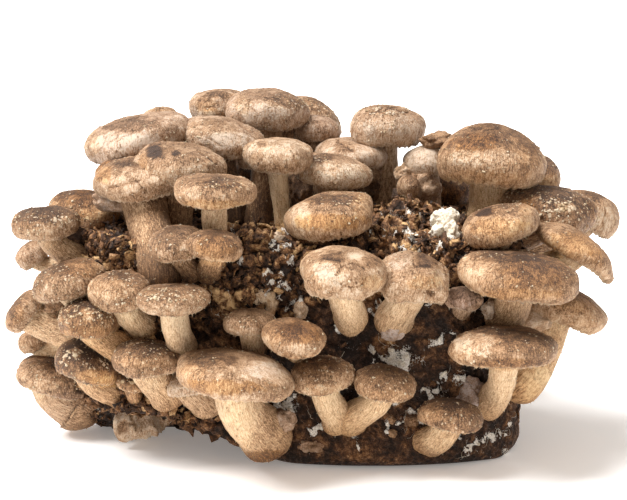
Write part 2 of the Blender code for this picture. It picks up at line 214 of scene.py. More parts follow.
def outward(points):
    """The direction straight out of the block, from the nearest point of its core."""
    return unit(points - np.clip(points, BLOCK_LOW + CORE_INSET, BLOCK_HIGH - CORE_INSET))


def block_form(cube):
    """Bends a cube's skin into the loaf: a box with round edges, whose upright corners are turned
    round by squeezing their square of the plan into a quarter disc, then lifted at the worn foot
    and pushed out at the front foot, then lumps added along the outward direction. Also how far
    each point is off the ground, from 0 to 1."""
    middle = (BLOCK_LOW + BLOCK_HIGH) / 2
    half = (BLOCK_HIGH - BLOCK_LOW) / 2
    box = cube * half
    core = np.clip(box, EDGE_RADIUS - half, half - EDGE_RADIUS)
    reach = box - core
    points = core + reach * (EDGE_RADIUS / np.linalg.norm(reach, axis=1))[:, None]
    for signs, radius in CORNER_RADII.items():
        start = half[:2] - radius
        over = (points[:, :2] * signs - start) / radius
        corner = (over > 0).all(axis=1)
        a, b = over[corner].T
        rounded = np.stack([a * np.sqrt(1 - b * b / 2), b * np.sqrt(1 - a * a / 2)], axis=1)
        points[corner, :2] = (start + rounded * radius) * signs
    worn = smooth_step(-cube[:, 0], 0.0, 0.7) * smooth_step(-cube[:, 1], -0.2, 0.7)
    points += middle
    points[:, 2] += FRONT_LEFT_LIFT * worn * smooth_step(-cube[:, 2], 0.4, 1.0)
    raised = layered(points, *LUMPS)
    for centre, radius, height in BULGES:
        away = np.linalg.norm(points - centre, axis=1)
        raised += height * smooth_step(-away, -radius, 0.0)
    foot = smooth_step(points[:, 2], 0.5, 14.0)
    right, front, height = points[:, 0], -points[:, 1], points[:, 2]
    forward = BELLY * smooth_step(-abs(right - 30.0), -72.0, -6.0) * smooth_step(front, 30.0, 62.0)
    forward *= smooth_step(-height, -32.0, 0.0)
    sideways = CORNER_BULGE * smooth_step(right, 60.0, 100.0) * smooth_step(front, -20.0, 40.0)
    sideways *= smooth_step(-height, -48.0, -6.0)
    points = points + np.stack([sideways, -forward, 0 * forward], axis=1)
    return points + outward(points) * (raised * foot)[:, None], foot


def near_patches(points, patches, spread):
    """How near points are to ragged patches of the picture: 1 at a middle and 0 at so many radii
    away, on the sides that the view shows. Two orders of noise shift where each point counts."""
    stray = [layered(points, (10.0, 5.5, seed), (7.0, 2.3, seed)) for seed in (90, 91)]
    seen = in_picture(points) + np.stack(stray, axis=-1)
    nearest = np.zeros(len(points))
    for across, down, radius in patches:
        away = np.linalg.norm(seen - (across, down), axis=1)
        nearest = np.maximum(nearest, 1.0 - away / (radius * spread))
    return nearest * smooth_step(outward(points) @ TO_VIEWER, 0.0, 0.4)


def crusted(cube):
    """The block's crust at places of the cube's skin: the loaf, moved along its outward direction by
    two orders of broken plates, by fine noise and by the mycelium's own thickness. Also the outward
    directions, how loose the crust is, how light, and how mouldy, each from 0 to 1."""
    points, off_ground = block_form(cube)
    out = outward(points)
    fresh = smooth_step(near_patches(points, LIGHT_CRUST, 1.2), 0.0, 0.5)
    loose = smooth_step(out[:, 2], 0.2, 0.8) + smooth_step(-points[:, 0], 20.0, 70.0)
    loose = np.clip(loose + smooth_step(points[:, 2], 70.0, 95.0) + fresh, LOWEST_LOOSENESS, 1.0)
    raised = layered(points, (0.9, 2.6, 30)) * (0.5 + 0.5 * loose)
    whole = np.ones(len(points))
    for order, (size, height) in enumerate(CRUMBS):
        plate, inside = broken_plates(points / size, 10 * order + 5)
        raised += height * loose * (0.6 * plate + 0.5 * (smooth_step(inside, 0.0, 0.6) - 1.0))
        whole = np.minimum(whole, 0.25 + 0.75 * smooth_step(inside, 0.0, 0.5))
    unseen = 1.0 - smooth_step(out @ TO_VIEWER, 0.0, 0.4)
    scattered = layered(points, (0.8, 16.0, 41), (0.5, 6.0, 42)) - 0.1
    mould = near_patches(points, MOULD_PATCHES, 1.9)
    mould = np.maximum(mould, scattered * (0.45 + 0.55 * unseen))
    mould = np.clip(mould + layered(points, (0.15, 3.0, 43)), 0.0, 1.0)
    tone = 0.26 + 0.24 * loose * whole + 0.14 * fresh + layered(points, (0.20, 9.0, 31))
    tone += 0.06 * raised
    raised += MOULD_THICKNESS * smooth_step(mould, 0.45, 0.55) - 0.8
    points = points + out * (raised * off_ground)[:, None]
    points[:, 2] = np.maximum(points[:, 2], 0.0)
    return points, out, loose, np.clip(tone, 0.0, 1.0), mould


def piece_of(name, points, faces, finish, slot, smooth=True, **values):
    """A mesh from points in millimetres, with one attribute for each named array. Where the points
    are rows of copies of one small shape, the faces are one copy's. It rides on the log's only
    body. The slot argument is not used."""
    copies, stride = (1, *points.shape)[-3:-1]
    starts = (np.arange(copies) * stride)[:, None, None]
    faces = [(face + starts).reshape(-1, face.shape[1]) for face in faces]
    points = points.reshape(-1, 3)
    mesh = bpy.data.meshes.new(name)
    corners = np.concatenate([face.ravel() for face in faces])
    totals = np.concatenate([np.full(len(face), face.shape[1]) for face in faces])
    mesh.vertices.add(len(points))
    mesh.vertices.foreach_set("co", (points * METRES).astype(np.float32).ravel())
    mesh.loops.add(len(corners))
    mesh.loops.foreach_set("vertex_index", corners.astype(np.int32))
    mesh.polygons.add(len(totals))
    mesh.polygons.foreach_set("loop_start", (np.cumsum(totals) - totals).astype(np.int32))
    mesh.update(calc_edges=True)
    if smooth:
        mesh.shade_smooth()
    for title, value in values.items():
        kind, field = ("FLOAT", "value") if value.ndim == 1 else ("FLOAT_VECTOR", "vector")
        made = mesh.attributes.new(title, kind, "POINT")
        made.data.foreach_set(field, value.astype(np.float32).ravel())
    mesh.materials.append(finish)
    piece = put(name, mesh)
    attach(piece, "root")
    return piece


class Wire:
    """A socket of a material in the making: arithmetic on it adds Math nodes."""

    def __init__(self, tree, socket=None):
        self.tree = tree
        self.socket = socket

    def node(self, kind, settings=None, inputs=None, output=0):
        """Adds a node of any type: first its settings, then its sockets' values or links."""
        made = self.tree.nodes.new("ShaderNode" + kind)
        for name, value in (settings or {}).items():
            if name == "stops":
                ramp = made.color_ramp
                for _ in value[2:]:
                    ramp.elements.new(0.5)
                for element, (position, colour) in zip(ramp.elements, value):
                    element.position = position
                    element.color = (*colour, 1.0)
            else:
                setattr(made, name, value)
        for name, value in (inputs or {}).items():
            if isinstance(value, Wire):
                self.tree.links.new(value.socket, made.inputs[name])
            else:
                made.inputs[name].default_value = value
        return Wire(self.tree, made.outputs[output])

    def also(self, output):
        """Another output of the node that this socket belongs to."""
        return Wire(self.tree, self.socket.node.outputs[output])

    def attribute(self, name, output):
        """A value or vector that the mesh carries at its points."""
        return self.node("Attribute", {"attribute_name": name}, None, output)

    def parts(self):
        """The three parts of a vector or colour."""
        first = self.node("SeparateXYZ", None, {0: self})
        return first, first.also(1), first.also(2)

    def math(self, operation, first, second=0.0):
        """A sum, product or other operation on two values."""
        return self.node("Math", {"operation": operation}, {0: first, 1: second})

    def __add__(self, other):
        return self.math("ADD", self, other)

    __radd__ = __add__

    def __sub__(self, other):
        return self.math("SUBTRACT", self, other)

    def __rsub__(self, other):
        return self.math("SUBTRACT", other, self)

    def __mul__(self, other):
        return self.math("MULTIPLY", self, other)

    __rmul__ = __mul__

    def __abs__(self):
        return self.math("ABSOLUTE", self)

    def step(self, start, end):
        """0 before start, 1 after end and smooth between."""
        ends = {"Value": self, "From Min": start, "From Max": end}
        return self.node("MapRange", {"interpolation_type": "SMOOTHSTEP"}, ends)

    def to(self, other, factor, blend="MIX"):
        """This colour, turned into the other or multiplied by it, as far as the factor says."""
        settings = {"data_type": "RGBA", "blend_type": blend}
        return self.node("Mix", settings, {0: factor, 6: self, 7: other}, 2)

    def ramp(self, *stops):
        """A colour for this value, from stops of a position and a colour."""
        return self.node("ValToRGB", {"stops": stops}, {0: self})

    def noise(self, scale, detail=2.0, roughness=0.5, output=0):
        """Noise from 0 to 1 at this place, with its scale in features to the unit of length."""
        values = {"Vector": self, "Scale": scale, "Detail": detail, "Roughness": roughness}
        return self.node("TexNoise", None, values, output)

    def cells(self, scale):
        """Distance from this place to the nearest of scattered points, in shares of their spacing,
        and a value from 0 to 1 for the cell that it lies in."""
        near = self.node("TexVoronoi", None, {"Vector": self, "Scale": scale})
        return near, near.also("Color").parts()[0]

    def bump(self, strength, distance):
        """A normal that leans as a surface with this height does."""
        return self.node("Bump", None, {"Strength": strength, "Distance": distance, "Height": self})


def new_finish(name, **constants):
    """A material with a plain Principled shader, constants for its sockets, and the wire to build on."""
    finish = bpy.data.materials.new(name)
    finish.use_nodes = True
    shader = finish.node_tree.nodes["Principled BSDF"]
    for title, value in constants.items():
        shader.inputs[title.replace("_", " ")].default_value = value
    return finish, shader, Wire(finish.node_tree)


def connect(shader, **wires):
    """Links wires to the shader's sockets of the same names."""
    for title, wire in wires.items():
        wire.tree.links.new(wire.socket, shader.inputs[title.replace("_", " ")])


def sawdust_finish():
    """Near-black glossy crust with reddish brown wood showing through, and white mycelium that is
    solid in patches and a web of threads round them."""
    finish, shader, wire = new_finish("spent_sawdust", Specular_IOR_Level=0.35)
    place = wire.node("TexCoord", output="Object")
    tone = wire.attribute("tone", "Fac")
    mould = wire.attribute("mould", "Fac")
    specks = place.noise(520, 4, 0.65)
    grain = place.noise(1500, 2)
    chunks = place.noise(170, 3, 0.6)
    wood = tone + (chunks - 0.5) * 1.0 + (specks - 0.5) * 0.9 + (grain - 0.5) * 0.6
    crust = wood.ramp(*CRUST_COLOURS)
    threads = place.noise(750, 4, 0.7)
    solid = (mould + (threads - 0.5) * 0.85).step(0.51, 0.54)
    vein = abs(place.noise(210, 3, 0.6) - 0.5).step(0.022, 0.008)
    web = vein * (mould + (threads - 0.5) * 0.9).step(0.30, 0.46) * 0.8
    white = solid.math("MAXIMUM", solid, web)
    colour = crust.to(grain.ramp(*MOULD_COLOURS), white)
    relief = chunks * 1.6 + specks * 0.9 + grain * 0.5 + white * 0.6
    roughness = 0.85 - specks.step(0.45, 0.65) * 0.4 + white * 0.3
    connect(shader, Base_Color=colour, Roughness=roughness, Normal=relief.bump(0.9, 0.0014))
    return finish


bark = sawdust_finish()
cube, block_quads = cube_skin(BLOCK_STEPS)
skin, _, _, tone, mould = crusted(cube)
block = piece_of("sawdust_loaf", skin, [block_quads], bark, "spent_sawdust", tone=tone, mould=mould)
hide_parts("sawdust_block")

# The mushrooms: fleshy, each a domed cap with a rolled margin and thin gills under it, on a tough
# fibrous stem that bends out of the block and up. Where they crowd, caps press on their neighbours.
# They grow fast in dry air, so the brown skin breaks into flecks and shows the pale flesh.


class Mushroom(NamedTuple):
    """cap is the middle of its cap and root is where its stem leaves the block. Neighbours in the
    list that carry the same name have grown into one piece."""

    name: str
    cap: tuple
    width: float
    thickness: float
    lean: tuple  # degrees to the right and towards the front
    root: tuple
    stem: tuple  # diameter under the cap and at the root
    look: tuple  # in hundredths: how brown, flecked and ochre (or grey) its cap is, and its stem's brown, raised with painted shade for stems that stand in shadow under crowded caps


MUSHROOMS = (  # the fields of each, in this order
    ("front_big", (-39, -97, 58.5), 60, 15, (5, 1), (-25, -68, 18.5), (20, 29), (47, 30, 14, 36)),
    ("front_hidden", (-63, -68, 46), 24, 10, (-8, 5), (-53, -64, 33), (13, 17), (16, 20, -20, 42)),
    ("front_upper_left", (-31, -77, 79), 27, 10, (0, 0), (-30, -64, 60), (11, 12), (52, 40, 15, 36)),
    ("front_upper_round", (-9, -95, 76), 31, 12, (5, 12), (-9, -66, 60), (10, 11), (61, 30, 42, 36)),
    ("front_twins", (4, -86, 55), 31, 14, (-3, 4), (12, -67, 25), (12.5, 16), (64, 55, 30, 24)),
    ("front_twins", (35, -86, 51), 32, 13, (5, 4), (19, -67, 25), (12.5, 16), (66, 50, 35, 24)),
    ("front_low", (68, -84, 34), 31, 12, (8, 2), (58, -65, 13), (13, 17), (80, 55, 35, 34)),
    ("front_right_flat", (94, -86, 69), 56, 14, (0, -2), (88, -59, 31), (15, 17), (62, 30, 22, 29)),
    ("front_centre_left", (14, -92, 108), 42, 18, (0, 8), (18, -69, 78), (17, 18), (37, 30, 16, 28)),
    ("front_centre_right", (49, -80, 103), 36, 18, (8, 12), (40, -66, 77), (17, 19), (40, 45, 6, 30)),
    ("front_right_big", (100, -74, 103), 61, 18, (6, 0), (95, -54, 76), (19, 22), (65, 30, 24, 46)),
    ("front_right_stunted", (75, -72, 90), 18, 9, (0, 10), (74, -64, 80), (8, 9), (52, 10, -41, 46)),
    ("right_low", (127, -32, 78), 49, 15, (20, 0), (104, -40, 39), (14, 26), (39, 20, 44, 31)),
    ("right_drooping", (134, -40, 109), 46, 12, (29, -2), (106, -28, 90), (14, 16), (45, 30, 31, 36)),
    ("right_leaning_left", (93, -50, 123), 40, 15, (-14, 2), (90, -44, 109), (15, 16), (52, 30, 26, 36)),
    ("right_flecked", (121, -5, 122), 49, 20, (6, 2), (103, -4, 102), (16, 18), (72, 80, 20, 60)),
    ("right_outer", (146.5, 28, 114), 34, 18, (22, 0), (106, 24, 90), (13, 16), (41, 30, 20, 56)),
    ("top_great_dome", (92, 5, 150), 58, 28, (3, 2), (91, 6, 114), (22, 24), (56, 34, 28, 20)),
    ("top_pale_button", (60, 38, 140), 27, 14, (-8, 0), (62, 38, 113), (11, 13), (8, 10, -20, 40)),
    ("top_behind_dome", (115, 35, 133), 36, 19, (14, 4), (98, 40, 108), (12, 14), (46, 30, 30, 36)),
    # top_shaded stands in shadow behind the great dome: its dark brown cap is partly painted shade.
    ("top_shaded", (74, 60, 122), 34, 15, (4, 4), (72, 57, 108), (12, 13), (81, 20, 70, 46)),
    ("top_knob", (50, 20, 129), 12, 10, (0, 8), (50, 20, 120), (7, 8), (57, 10, -13, 36)),
    ("top_ragged", (39.5, 50, 156.5), 39, 19, (2, 2), (38, 52, 111), (11, 16), (32, 40, -30, 40)),
    ("top_stack_back", (20, 46, 142), 41, 13, (2, 2), (14, 46, 112), (14, 15), (28, 20, -31, 66)),
    ("top_stack_middle", (10, 6, 140), 39, 14, (8, 0), (12, 4, 113), (15, 16), (36, 50, -8, 50)),
    ("top_stack_front", (8, -46, 127), 46, 17, (-8, 4), (9, -42, 112), (19, 20), (48, 35, 24, 36)),
    ("top_tall", (-18, -6, 150), 37, 14, (2, 2), (-16, -2, 113), (12, 9), (34, 30, -1, 18)),
    ("top_tall", (-26, 8, 146), 25, 11, (0, 0), (-29, 8, 112), (12, 14), (50, 30, -30, 72)),
    ("top_back_right", (-25, 58, 164), 47, 17, (3, 2), (-16, 50, 112), (18, 19), (39, 40, -40, 47)),
    ("top_back_right", (0, 64, 152), 28, 12, (4, 0), (3, 54, 111), (15, 18), (38, 40, -50, 50)),
    ("top_back_hook", (0, 90, 155), 36, 16, (20, 0), (4, 62, 104), (12, 14), (36, 40, 10, 66)),
    ("top_back_left", (-52, 80, 163), 32, 14, (-5, 0), (-52, 62, 106), (11, 13), (34, 40, -31, 66)),
    ("top_pale_slant", (-48, 18, 156), 43, 15, (10, 4), (-42, 16, 113), (15, 16), (32, 35, -34, 75)),
    ("top_left_long", (-93, 22, 155), 57, 17, (-14, 2), (-85, 22, 113), (18, 20), (31, 30, -42, 62)),
    ("top_left_peeping", (-82, 62, 158), 20, 11, (0, 0), (-76, 56, 109), (9, 11), (32, 30, 10, 36)),
    ("top_patched", (-68, -24, 149), 45, 16, (4, 6), (-71, -16, 113), (16, 18), (44, 35, -15, 57)),
    ("top_left_brown", (-99, -6, 141), 30, 14, (-10, 4), (-91, -4, 113), (12, 14), (52, 30, 26, 61)),
    ("top_left_thick", (-88, -24, 142), 47, 16, (-5, 5), (-76, -57, 97), (22, 22), (40, 30, -15, 60)),
    ("top_front_table", (-49, -62, 142), 40, 12, (2, 2), (-49, -55, 110), (12, 13), (52, 40, 17, 29)),
    ("top_front_pair", (-68, -72, 118), 29, 13, (-8, 6), (-61, -60, 99), (11, 12), (62, 50, -12, 66)),
    ("top_front_pair", (-48, -82, 119), 27, 11, (6, 6), (-52, -63, 99), (11, 12), (68, 45, 20, 66)),
    ("left_back_brown", (-119, 10, 119), 38, 16, (3, 2), (-109, 12, 104), (15, 16), (58, 40, 50, 36)),
    ("left_upper", (-136, -26, 119), 34, 14, (-4, 0), (-116, -24, 94), (13, 15), (73, 50, 15, 45)),
    ("left_pale", (-148, 6, 95), 19, 11, (-35, 0), (-119, 6, 88), (9, 10), (47, 10, -3, 36)),
    ("left_speckled", (-124, -48, 94), 38, 14, (-15, 4), (-109, -40, 78), (16, 18), (59, 55, 14, 36)),
    ("left_middle", (-96, -67, 93), 31, 15, (-4, 8), (-86, -54, 70), (15, 17), (60, 50, 20, 30)),
    ("left_parasol", (-69, -86, 93), 36, 11, (0, 2), (-66, -64, 62), (13, 15), (60, 50, 10, 24)),
    ("left_outer", (-150, -20, 71), 25, 11, (-50, 5), (-117, -24, 55), (16, 21), (51, 20, 14, 37)),
    ("left_outer_small", (-147, -2, 51), 17, 9, (-20, 5), (-118, -4, 46), (9, 11), (49, 30, 19, 21)),
    ("left_flecked", (-112, -64, 78), 31, 14, (0, 8), (-97, -57, 59), (13, 15), (79, 70, 52, 43)),
    ("left_dark", (-113, -51, 53), 36, 15, (15, 8), (-100, -44, 33), (14, 17), (95, 50, 35, 46)),
    ("left_front", (-83, -73, 60), 33, 13, (3, 6), (-73, -62, 37), (16, 18), (74, 50, 18, 40)),
    ("left_foot", (-133, -9, 34), 42, 14, (13, 4), (-123, -4, 20), (25, 36), (66, 40, 0, 40)),
    ("left_tiny", (-91, -62, 44), 15, 7, (5, 6), (-90, -56, 34), (7, 8), (80, 80, 54, 66)),
    ("left_stunted", (-89, -26, 16), 30, 12, (-8, 20), (-86, -16, 18), (16, 17), (10, 10, 5, 16)),
    ("back_left", (-70, 94, 78), 50, 17, (-6, -10), (-66, 62, 52), (16, 18), (60, 40, 10, 36)),
    ("back_middle", (-16, 98, 104), 44, 16, (4, -12), (-14, 62, 80), (15, 16), (50, 50, 0, 36)),
    ("back_right", (42, 96, 78), 54, 18, (5, -10), (40, 62, 52), (18, 20), (66, 40, 20, 36)),
    ("back_upper_right", (86, 88, 106), 40, 16, (8, -12), (80, 60, 86), (14, 15), (50, 50, 10, 36)),
    ("back_low_left", (-104, 84, 42), 36, 14, (-14, -10), (-92, 56, 27), (14, 16), (62, 30, 0, 36)),
    ("back_low_middle", (-22, 92, 44), 34, 14, (-4, -14), (-20, 62, 27), (13, 15), (55, 40, 20, 36)),
    ("back_low_right", (90, 88, 40), 38, 15, (10, -10), (80, 58, 25), (14, 16), (60, 50, 0, 36)),
)
FORMS = {  # power of the dome's superellipse, sag of its low side and raggedness, where not usual
    "front_big": (2.3, 1.5, 0.6), "front_centre_left": (2.3, 0, 1.3),
    "front_centre_right": (2.2, 0, 1.8), "front_low": (2.1, 0, 0.6), "front_right_flat": (2.5, 0, 0.6),
    "front_right_stunted": (2, 0, 3.2), "front_twins": (2.1, 0, 0.4), "front_upper_left": (2.3, 0, 1.2),
    "front_upper_round": (2.1, 0, 0.4), "left_foot": (2.3, 0, 0.7), "left_parasol": (2.1, 0, 0.6),
    "left_stunted": (2, 0, 5), "right_drooping": (2, 7, 0.8), "right_outer": (2.2, 0, 1.4),
    "top_back_hook": (2.2, 5, 1.3), "top_back_left": (2.6, 0, 1.4), "top_back_right": (2.6, 0, 1),
    "top_front_table": (2.8, 0, 0.8), "top_great_dome": (1.6, 0, 0.5), "top_left_brown": (2.3, 0, 1.4),
    "top_left_long": (2.8, 0, 0.8), "top_pale_button": (2, 0, 0.7), "top_ragged": (2.1, 0, 1.3),
    "top_tall": (2.8, 0, 1.2),
}
USUAL_FORM = (2.3, 0, 1.0)
MARKS = {  # place and radii in the picture; how much browner, warmer, flecked, higher, in hundredths; most are the skins' own colour, a few are painted highlight and painted shade, noted where they stand
    "front_big": (
        # The pale bands across the cap's middle, at 250 and 272 across, are a painted highlight.
        (214, 360, 28, 9, 24, 0, 10), (250, 368, 42, 11, -18, -10, -20),
        (272, 370, 30, 11, -26, -30, -20), (222, 387, 50, 8, 4, 70, -30), (272, 356, 16, 4, 12, 0, 20),
        # The thin darker strip at 270 across and 415 down is painted shade, where the stem turns from lit to
        # shaded.
        (236, 425, 18, 34, -18, 20), (270, 415, 7, 24, 14, -20), (265, 458, 30, 8, 24, 60),
        (192, 374, 16, 12, -10, 40),
    ),
    "front_upper_round": (
        (300, 332, 24, 11, 10, 50, -20), (267, 346, 7, 12, -35), (298, 350, 30, 6, -12, -20, 20),
    ),
    "front_upper_left": ((240, 322, 22, 7, 6, -30, 20), (255, 332, 20, 5, -15)),
    "front_twins": (
        (325, 362, 24, 9, 10, 0, 20), (387, 369, 24, 10, 10, 0, 20), (327, 389, 26, 5, -20, 20, -20),
        (388, 395, 28, 5, -12, 20, -20),
    ),
    "front_low": ((447, 402, 26, 9, 8, 0, 20), (430, 414, 14, 8, -12, 20)),
    "front_right_flat": (
        (474, 343, 24, 13, -30, -10, 30), (527, 344, 30, 12, 16, 10), (508, 364, 32, 6, 22, 50),
        (495, 331, 30, 4, 25, 0, 20), (462, 352, 12, 12, -20, 20),
    ),
    "front_centre_left": (
        (352, 275, 14, 11, 10, -10, -20, 60), (326, 271, 12, 9, -30, -40, 40),
        (332, 258, 16, 6, 26, 10, 0, 30), (372, 261, 10, 7, 26, 10, 0, 30), (352, 256, 12, 4, -30),
        (330, 280, 18, 8, -24, 0, 30), (372, 283, 14, 9, -10, 50),
    ),
    "front_centre_right": (
        (426, 259, 14, 9, 26, 10, -20, 40), (400, 262, 13, 12, -10, -40, 30), (425, 282, 22, 8, -10, 60),
        (431, 293, 4, 3, 50, 0, 0, -200), (440, 278, 5, 12, -20, 0, 0, -50),
    ),
    "front_right_big": (
        (535, 272, 34, 20, 14, 50, -10), (505, 258, 38, 6, 18, 10, 50), (468, 268, 22, 15, -20, 10),
        (490, 278, 30, 12, -13, 10), (520, 294, 46, 6, -6, 50, -20),
    ),
    "front_right_stunted": ((462, 296, 20, 14, 5, -40),),
    "right_low": ((575, 302, 30, 12, 5, 20), (540, 385, 18, 22, -25)),
    "right_drooping": ((575, 245, 36, 14, -6, 50, -20), (600, 258, 16, 8, 12, 30, 30)),
    "right_leaning_left": (
        (482, 211, 12, 6, 62, 90, -60, -40), (506, 203, 24, 6, 16, 0, 50), (500, 228, 30, 12, -10, 50),
        (526, 215, 7, 20, -20, 30),
    ),
    "right_flecked": (
        (560, 206, 30, 18, 16, 0, 20), (527, 213, 12, 18, -10, 70, -40), (590, 214, 10, 18, 14, 40, -40),
        (566, 209, 10, 6, -25, 0, 50, 60),
    ),
    "right_outer": ((592, 194, 18, 9, 30), (606, 218, 12, 14, -12)),
    "top_great_dome": (
        (474, 142, 25, 10, 14, 80, -20), (512, 142, 34, 14, 10, 10), (487, 127, 16, 3, 20, 10, 20, 40),
        (470, 158, 52, 10, -14, -20, 30), (480, 178, 58, 7, -2, 30, 10), (445, 155, 8, 16, 12, 20),
        (530, 160, 12, 16, 10, 20),
    ),
    "top_pale_button": ((420, 155, 16, 14, -5, -10),),
    "top_behind_dome": ((549, 166, 12, 10, 28, 10, 20), (530, 184, 26, 10, -12, 40)),
    # The darker mark on top_shaded is painted shade.
    "top_shaded": ((450, 195, 30, 16, 20),),
    "top_ragged": (
        (388, 110, 24, 6, 16, 10, 90), (385, 128, 32, 9, -12, 0, 30), (385, 141, 34, 4, -10, 10),
    ),
    "top_stack_back": ((345, 147, 12, 6, 22, 10, 20, -50), (370, 152, 14, 10, -12)),
    "top_stack_middle": (
        (318, 156, 18, 7, 32, 10, 50), (345, 176, 28, 8, -20, 0, 40), (330, 166, 30, 3, -16, 0, 30),
    ),
    "top_stack_front": (
        (330, 199, 34, 6, 24, 20, 60), (330, 222, 40, 9, -2, 80, -20), (301, 215, 12, 18, -30),
        (362, 205, 10, 16, -12, 30, 20),
    ),
    "top_tall": (
        (278, 147, 30, 8, -24, 10, 10), (278, 167, 34, 4, 18, 10), (262, 144, 6, 4, 30),
        (282, 200, 9, 34, -4, 30),
    ),
    "top_back_right": (
        (294, 101, 30, 8, 30, 20, 50), (262, 112, 32, 10, -18, 0, 30), (243, 105, 8, 12, 6, 40),
    ),
    "top_back_hook": ((318, 104, 18, 10, 22, 10, 50), (336, 128, 6, 5, -35, 0, 0, 50)),
    "top_back_left": (
        (206, 104, 12, 8, 20, 70, 0, -80), (222, 95, 16, 4, 34, 20), (214, 113, 16, 5, -14, 60, 0, 40),
    ),
    "top_pale_slant": (
        (212, 128, 26, 8, 10, 20, 40), (225, 140, 28, 8, -28, 0, 20), (245, 152, 14, 6, 12, 20),
    ),
    "top_left_long": (
        (128, 124, 36, 8, 26, 0, 40), (130, 142, 42, 9, -30, 0, -10), (92, 145, 8, 14, 12, 50),
    ),
    "top_left_peeping": ((161, 112, 14, 5, 12, 30, 0, -40),),
    "top_patched": (
        (155, 152, 9, 8, 55, -30, -80, 20), (176, 154, 5, 4, 50, -30, -80, 20),
        (178, 175, 38, 9, -16, 10, 30), (205, 160, 14, 8, 5, 0, 50), (143, 165, 6, 14, 0, 70),
    ),
    "top_left_brown": ((103, 170, 9, 14, 6, 90), (124, 158, 20, 7, 30, 10, 30)),
    "top_left_thick": (
        (103, 172, 9, 14, 6, 90), (124, 160, 22, 7, 30, 10, 30), (130, 180, 28, 7, -12),
        (150, 198, 34, 6, 8), (140, 225, 8, 24, -14), (168, 228, 8, 30, 14, -20),
    ),
    "top_front_table": (
        (222, 184, 26, 6, 24, 30, 60), (192, 192, 12, 7, -16), (214, 204, 34, 5, -12, 60, -20),
    ),
    "top_front_pair": (
        (172, 240, 16, 10, 4, 0, 30), (215, 246, 24, 12, 4, 60), (214, 262, 20, 4, -20, 40),
    ),
    "left_back_brown": ((82, 197, 30, 9, 20, 30, 20), (95, 215, 34, 7, -10, 30, 60)),
    "left_upper": (
        (42, 216, 30, 9, 14, 0, 30), (38, 234, 34, 6, -18, 0, -10), (64, 222, 16, 8, -6, 0, 60),
    ),
    "left_pale": ((28, 254, 14, 12, 0, -30),),
    "left_speckled": (
        (52, 266, 22, 10, 12, 10, 50), (82, 268, 20, 10, -4, 50, -20), (62, 292, 30, 8, -2, -20),
        (35, 284, 8, 16, 10, 20, 10),
    ),
    "left_middle": (
        (120, 275, 24, 7, 2, 10, 50), (112, 290, 26, 10, -16, 20, 10), (132, 318, 14, 20, -4, 10),
    ),
    "left_parasol": ((172, 294, 34, 9, 2, 20, 60), (172, 310, 36, 5, -14, 10)),
    "left_outer": ((14, 312, 10, 16, 10, 40), (46, 325, 18, 26, 4, -10, 20)),
    "left_flecked": (
        (88, 306, 28, 12, 4, 0, 60), (85, 332, 28, 8, -2, 20, -20), (86, 315, 7, 6, -40, 0, 20, 50),
    ),
    "left_dark": (
        (84, 358, 28, 14, 10, -10, 60), (96, 376, 22, 7, -28, 50, -20), (76, 352, 6, 6, -40, -20, 30, 40),
        (108, 382, 18, 6, -20, 60),
    ),
    "left_front": ((150, 345, 30, 8, 6, 10, 60), (146, 362, 30, 7, -10, 30, 10)),
    "left_foot": (
        (38, 372, 24, 12, -6, 0, 20), (62, 364, 14, 9, 20, 0, 10), (40, 386, 24, 6, -18, 30),
        (84, 388, 14, 6, 30, 20), (76, 408, 40, 22, 8, -40), (105, 418, 12, 8, 42, -20, 0, -200),
    ),
    "left_tiny": ((128, 378, 14, 7, 5, 10, 40),),
    "left_stunted": ((140, 424, 32, 16, 6, -20), (122, 428, 6, 6, 30, 0, 0, -150)),
}
CRACKS = {  # ends across and down in the picture, and width, of each split in a skin
    "top_left_thick": ((108, 188, 142, 180, 1.3), (134, 178, 146, 192, 1)),
    "front_low": ((422, 404, 432, 398, 1),),
    "front_centre_left": (
        (367, 276, 363, 284, 0.9), (363, 284, 352, 288, 0.9), (352, 288, 341, 284, 0.9),
        (341, 284, 337, 275, 0.9), (337, 275, 341, 267, 0.9), (341, 267, 352, 263, 0.9),
        (352, 263, 363, 267, 0.9), (363, 267, 367, 276, 0.9), (322, 258, 340, 262, 0.9),
    ),
    "front_centre_right": (
        (412, 252, 414, 266, 0.8), (414, 266, 438, 268, 0.8), (442, 258, 448, 276, 0.9),
    ),
    "top_ragged": ((370, 114, 382, 108, 1.2), (380, 112, 396, 106, 1.3), (392, 110, 408, 112, 1.2)),
    "top_back_left": ((198, 100, 208, 94, 1.1), (206, 108, 218, 102, 1)),
    "top_patched": ((146, 176, 156, 182, 1), (196, 150, 216, 164, 1)),
    "top_pale_slant": ((240, 126, 252, 132, 1), (206, 136, 220, 146, 0.8)),
    "top_left_long": ((104, 128, 118, 120, 1), (110, 142, 118, 136, 0.8)),
    "top_stack_back": ((338, 142, 352, 150, 1.2),),
    "right_outer": ((596, 206, 590, 224, 0.9), (606, 210, 602, 228, 0.9)),
    "left_foot": ((78, 390, 88, 394, 1.2),),
    "left_stunted": ((130, 412, 136, 430, 1.4), (118, 420, 132, 424, 1.2)),
}
CRACK_CHANGE = (0.26, 0.0, 0.0, -0.6)  # how much browner, warmer, more flecked and higher
FINENESS = 1.0  # distance between neighbouring points of a mushroom's skin
WIDEST_AT = 0.36
MARGIN_ROLL = 0.15
LIP_WIDTH, LIP_DEPTH = 0.03, 0.02
GILL_DEPTH = 0.26
DROOP = 0.9
STEM_SWEEP = (0.4, 0.3)
CAP_FIBRES, STEM_FIBRES, SCALES, GILLS = 0.12, 0.20, 0.35, 0.45  # heights of relief on the skin
NOISE_SHIFT = np.array([37.0, 91.0, 53.0])  # from one mushroom's noise to the next one's
ROOT_TIP = 0.85  # length of the rounded end inside the block, in radii
GOLDEN = 0.618034
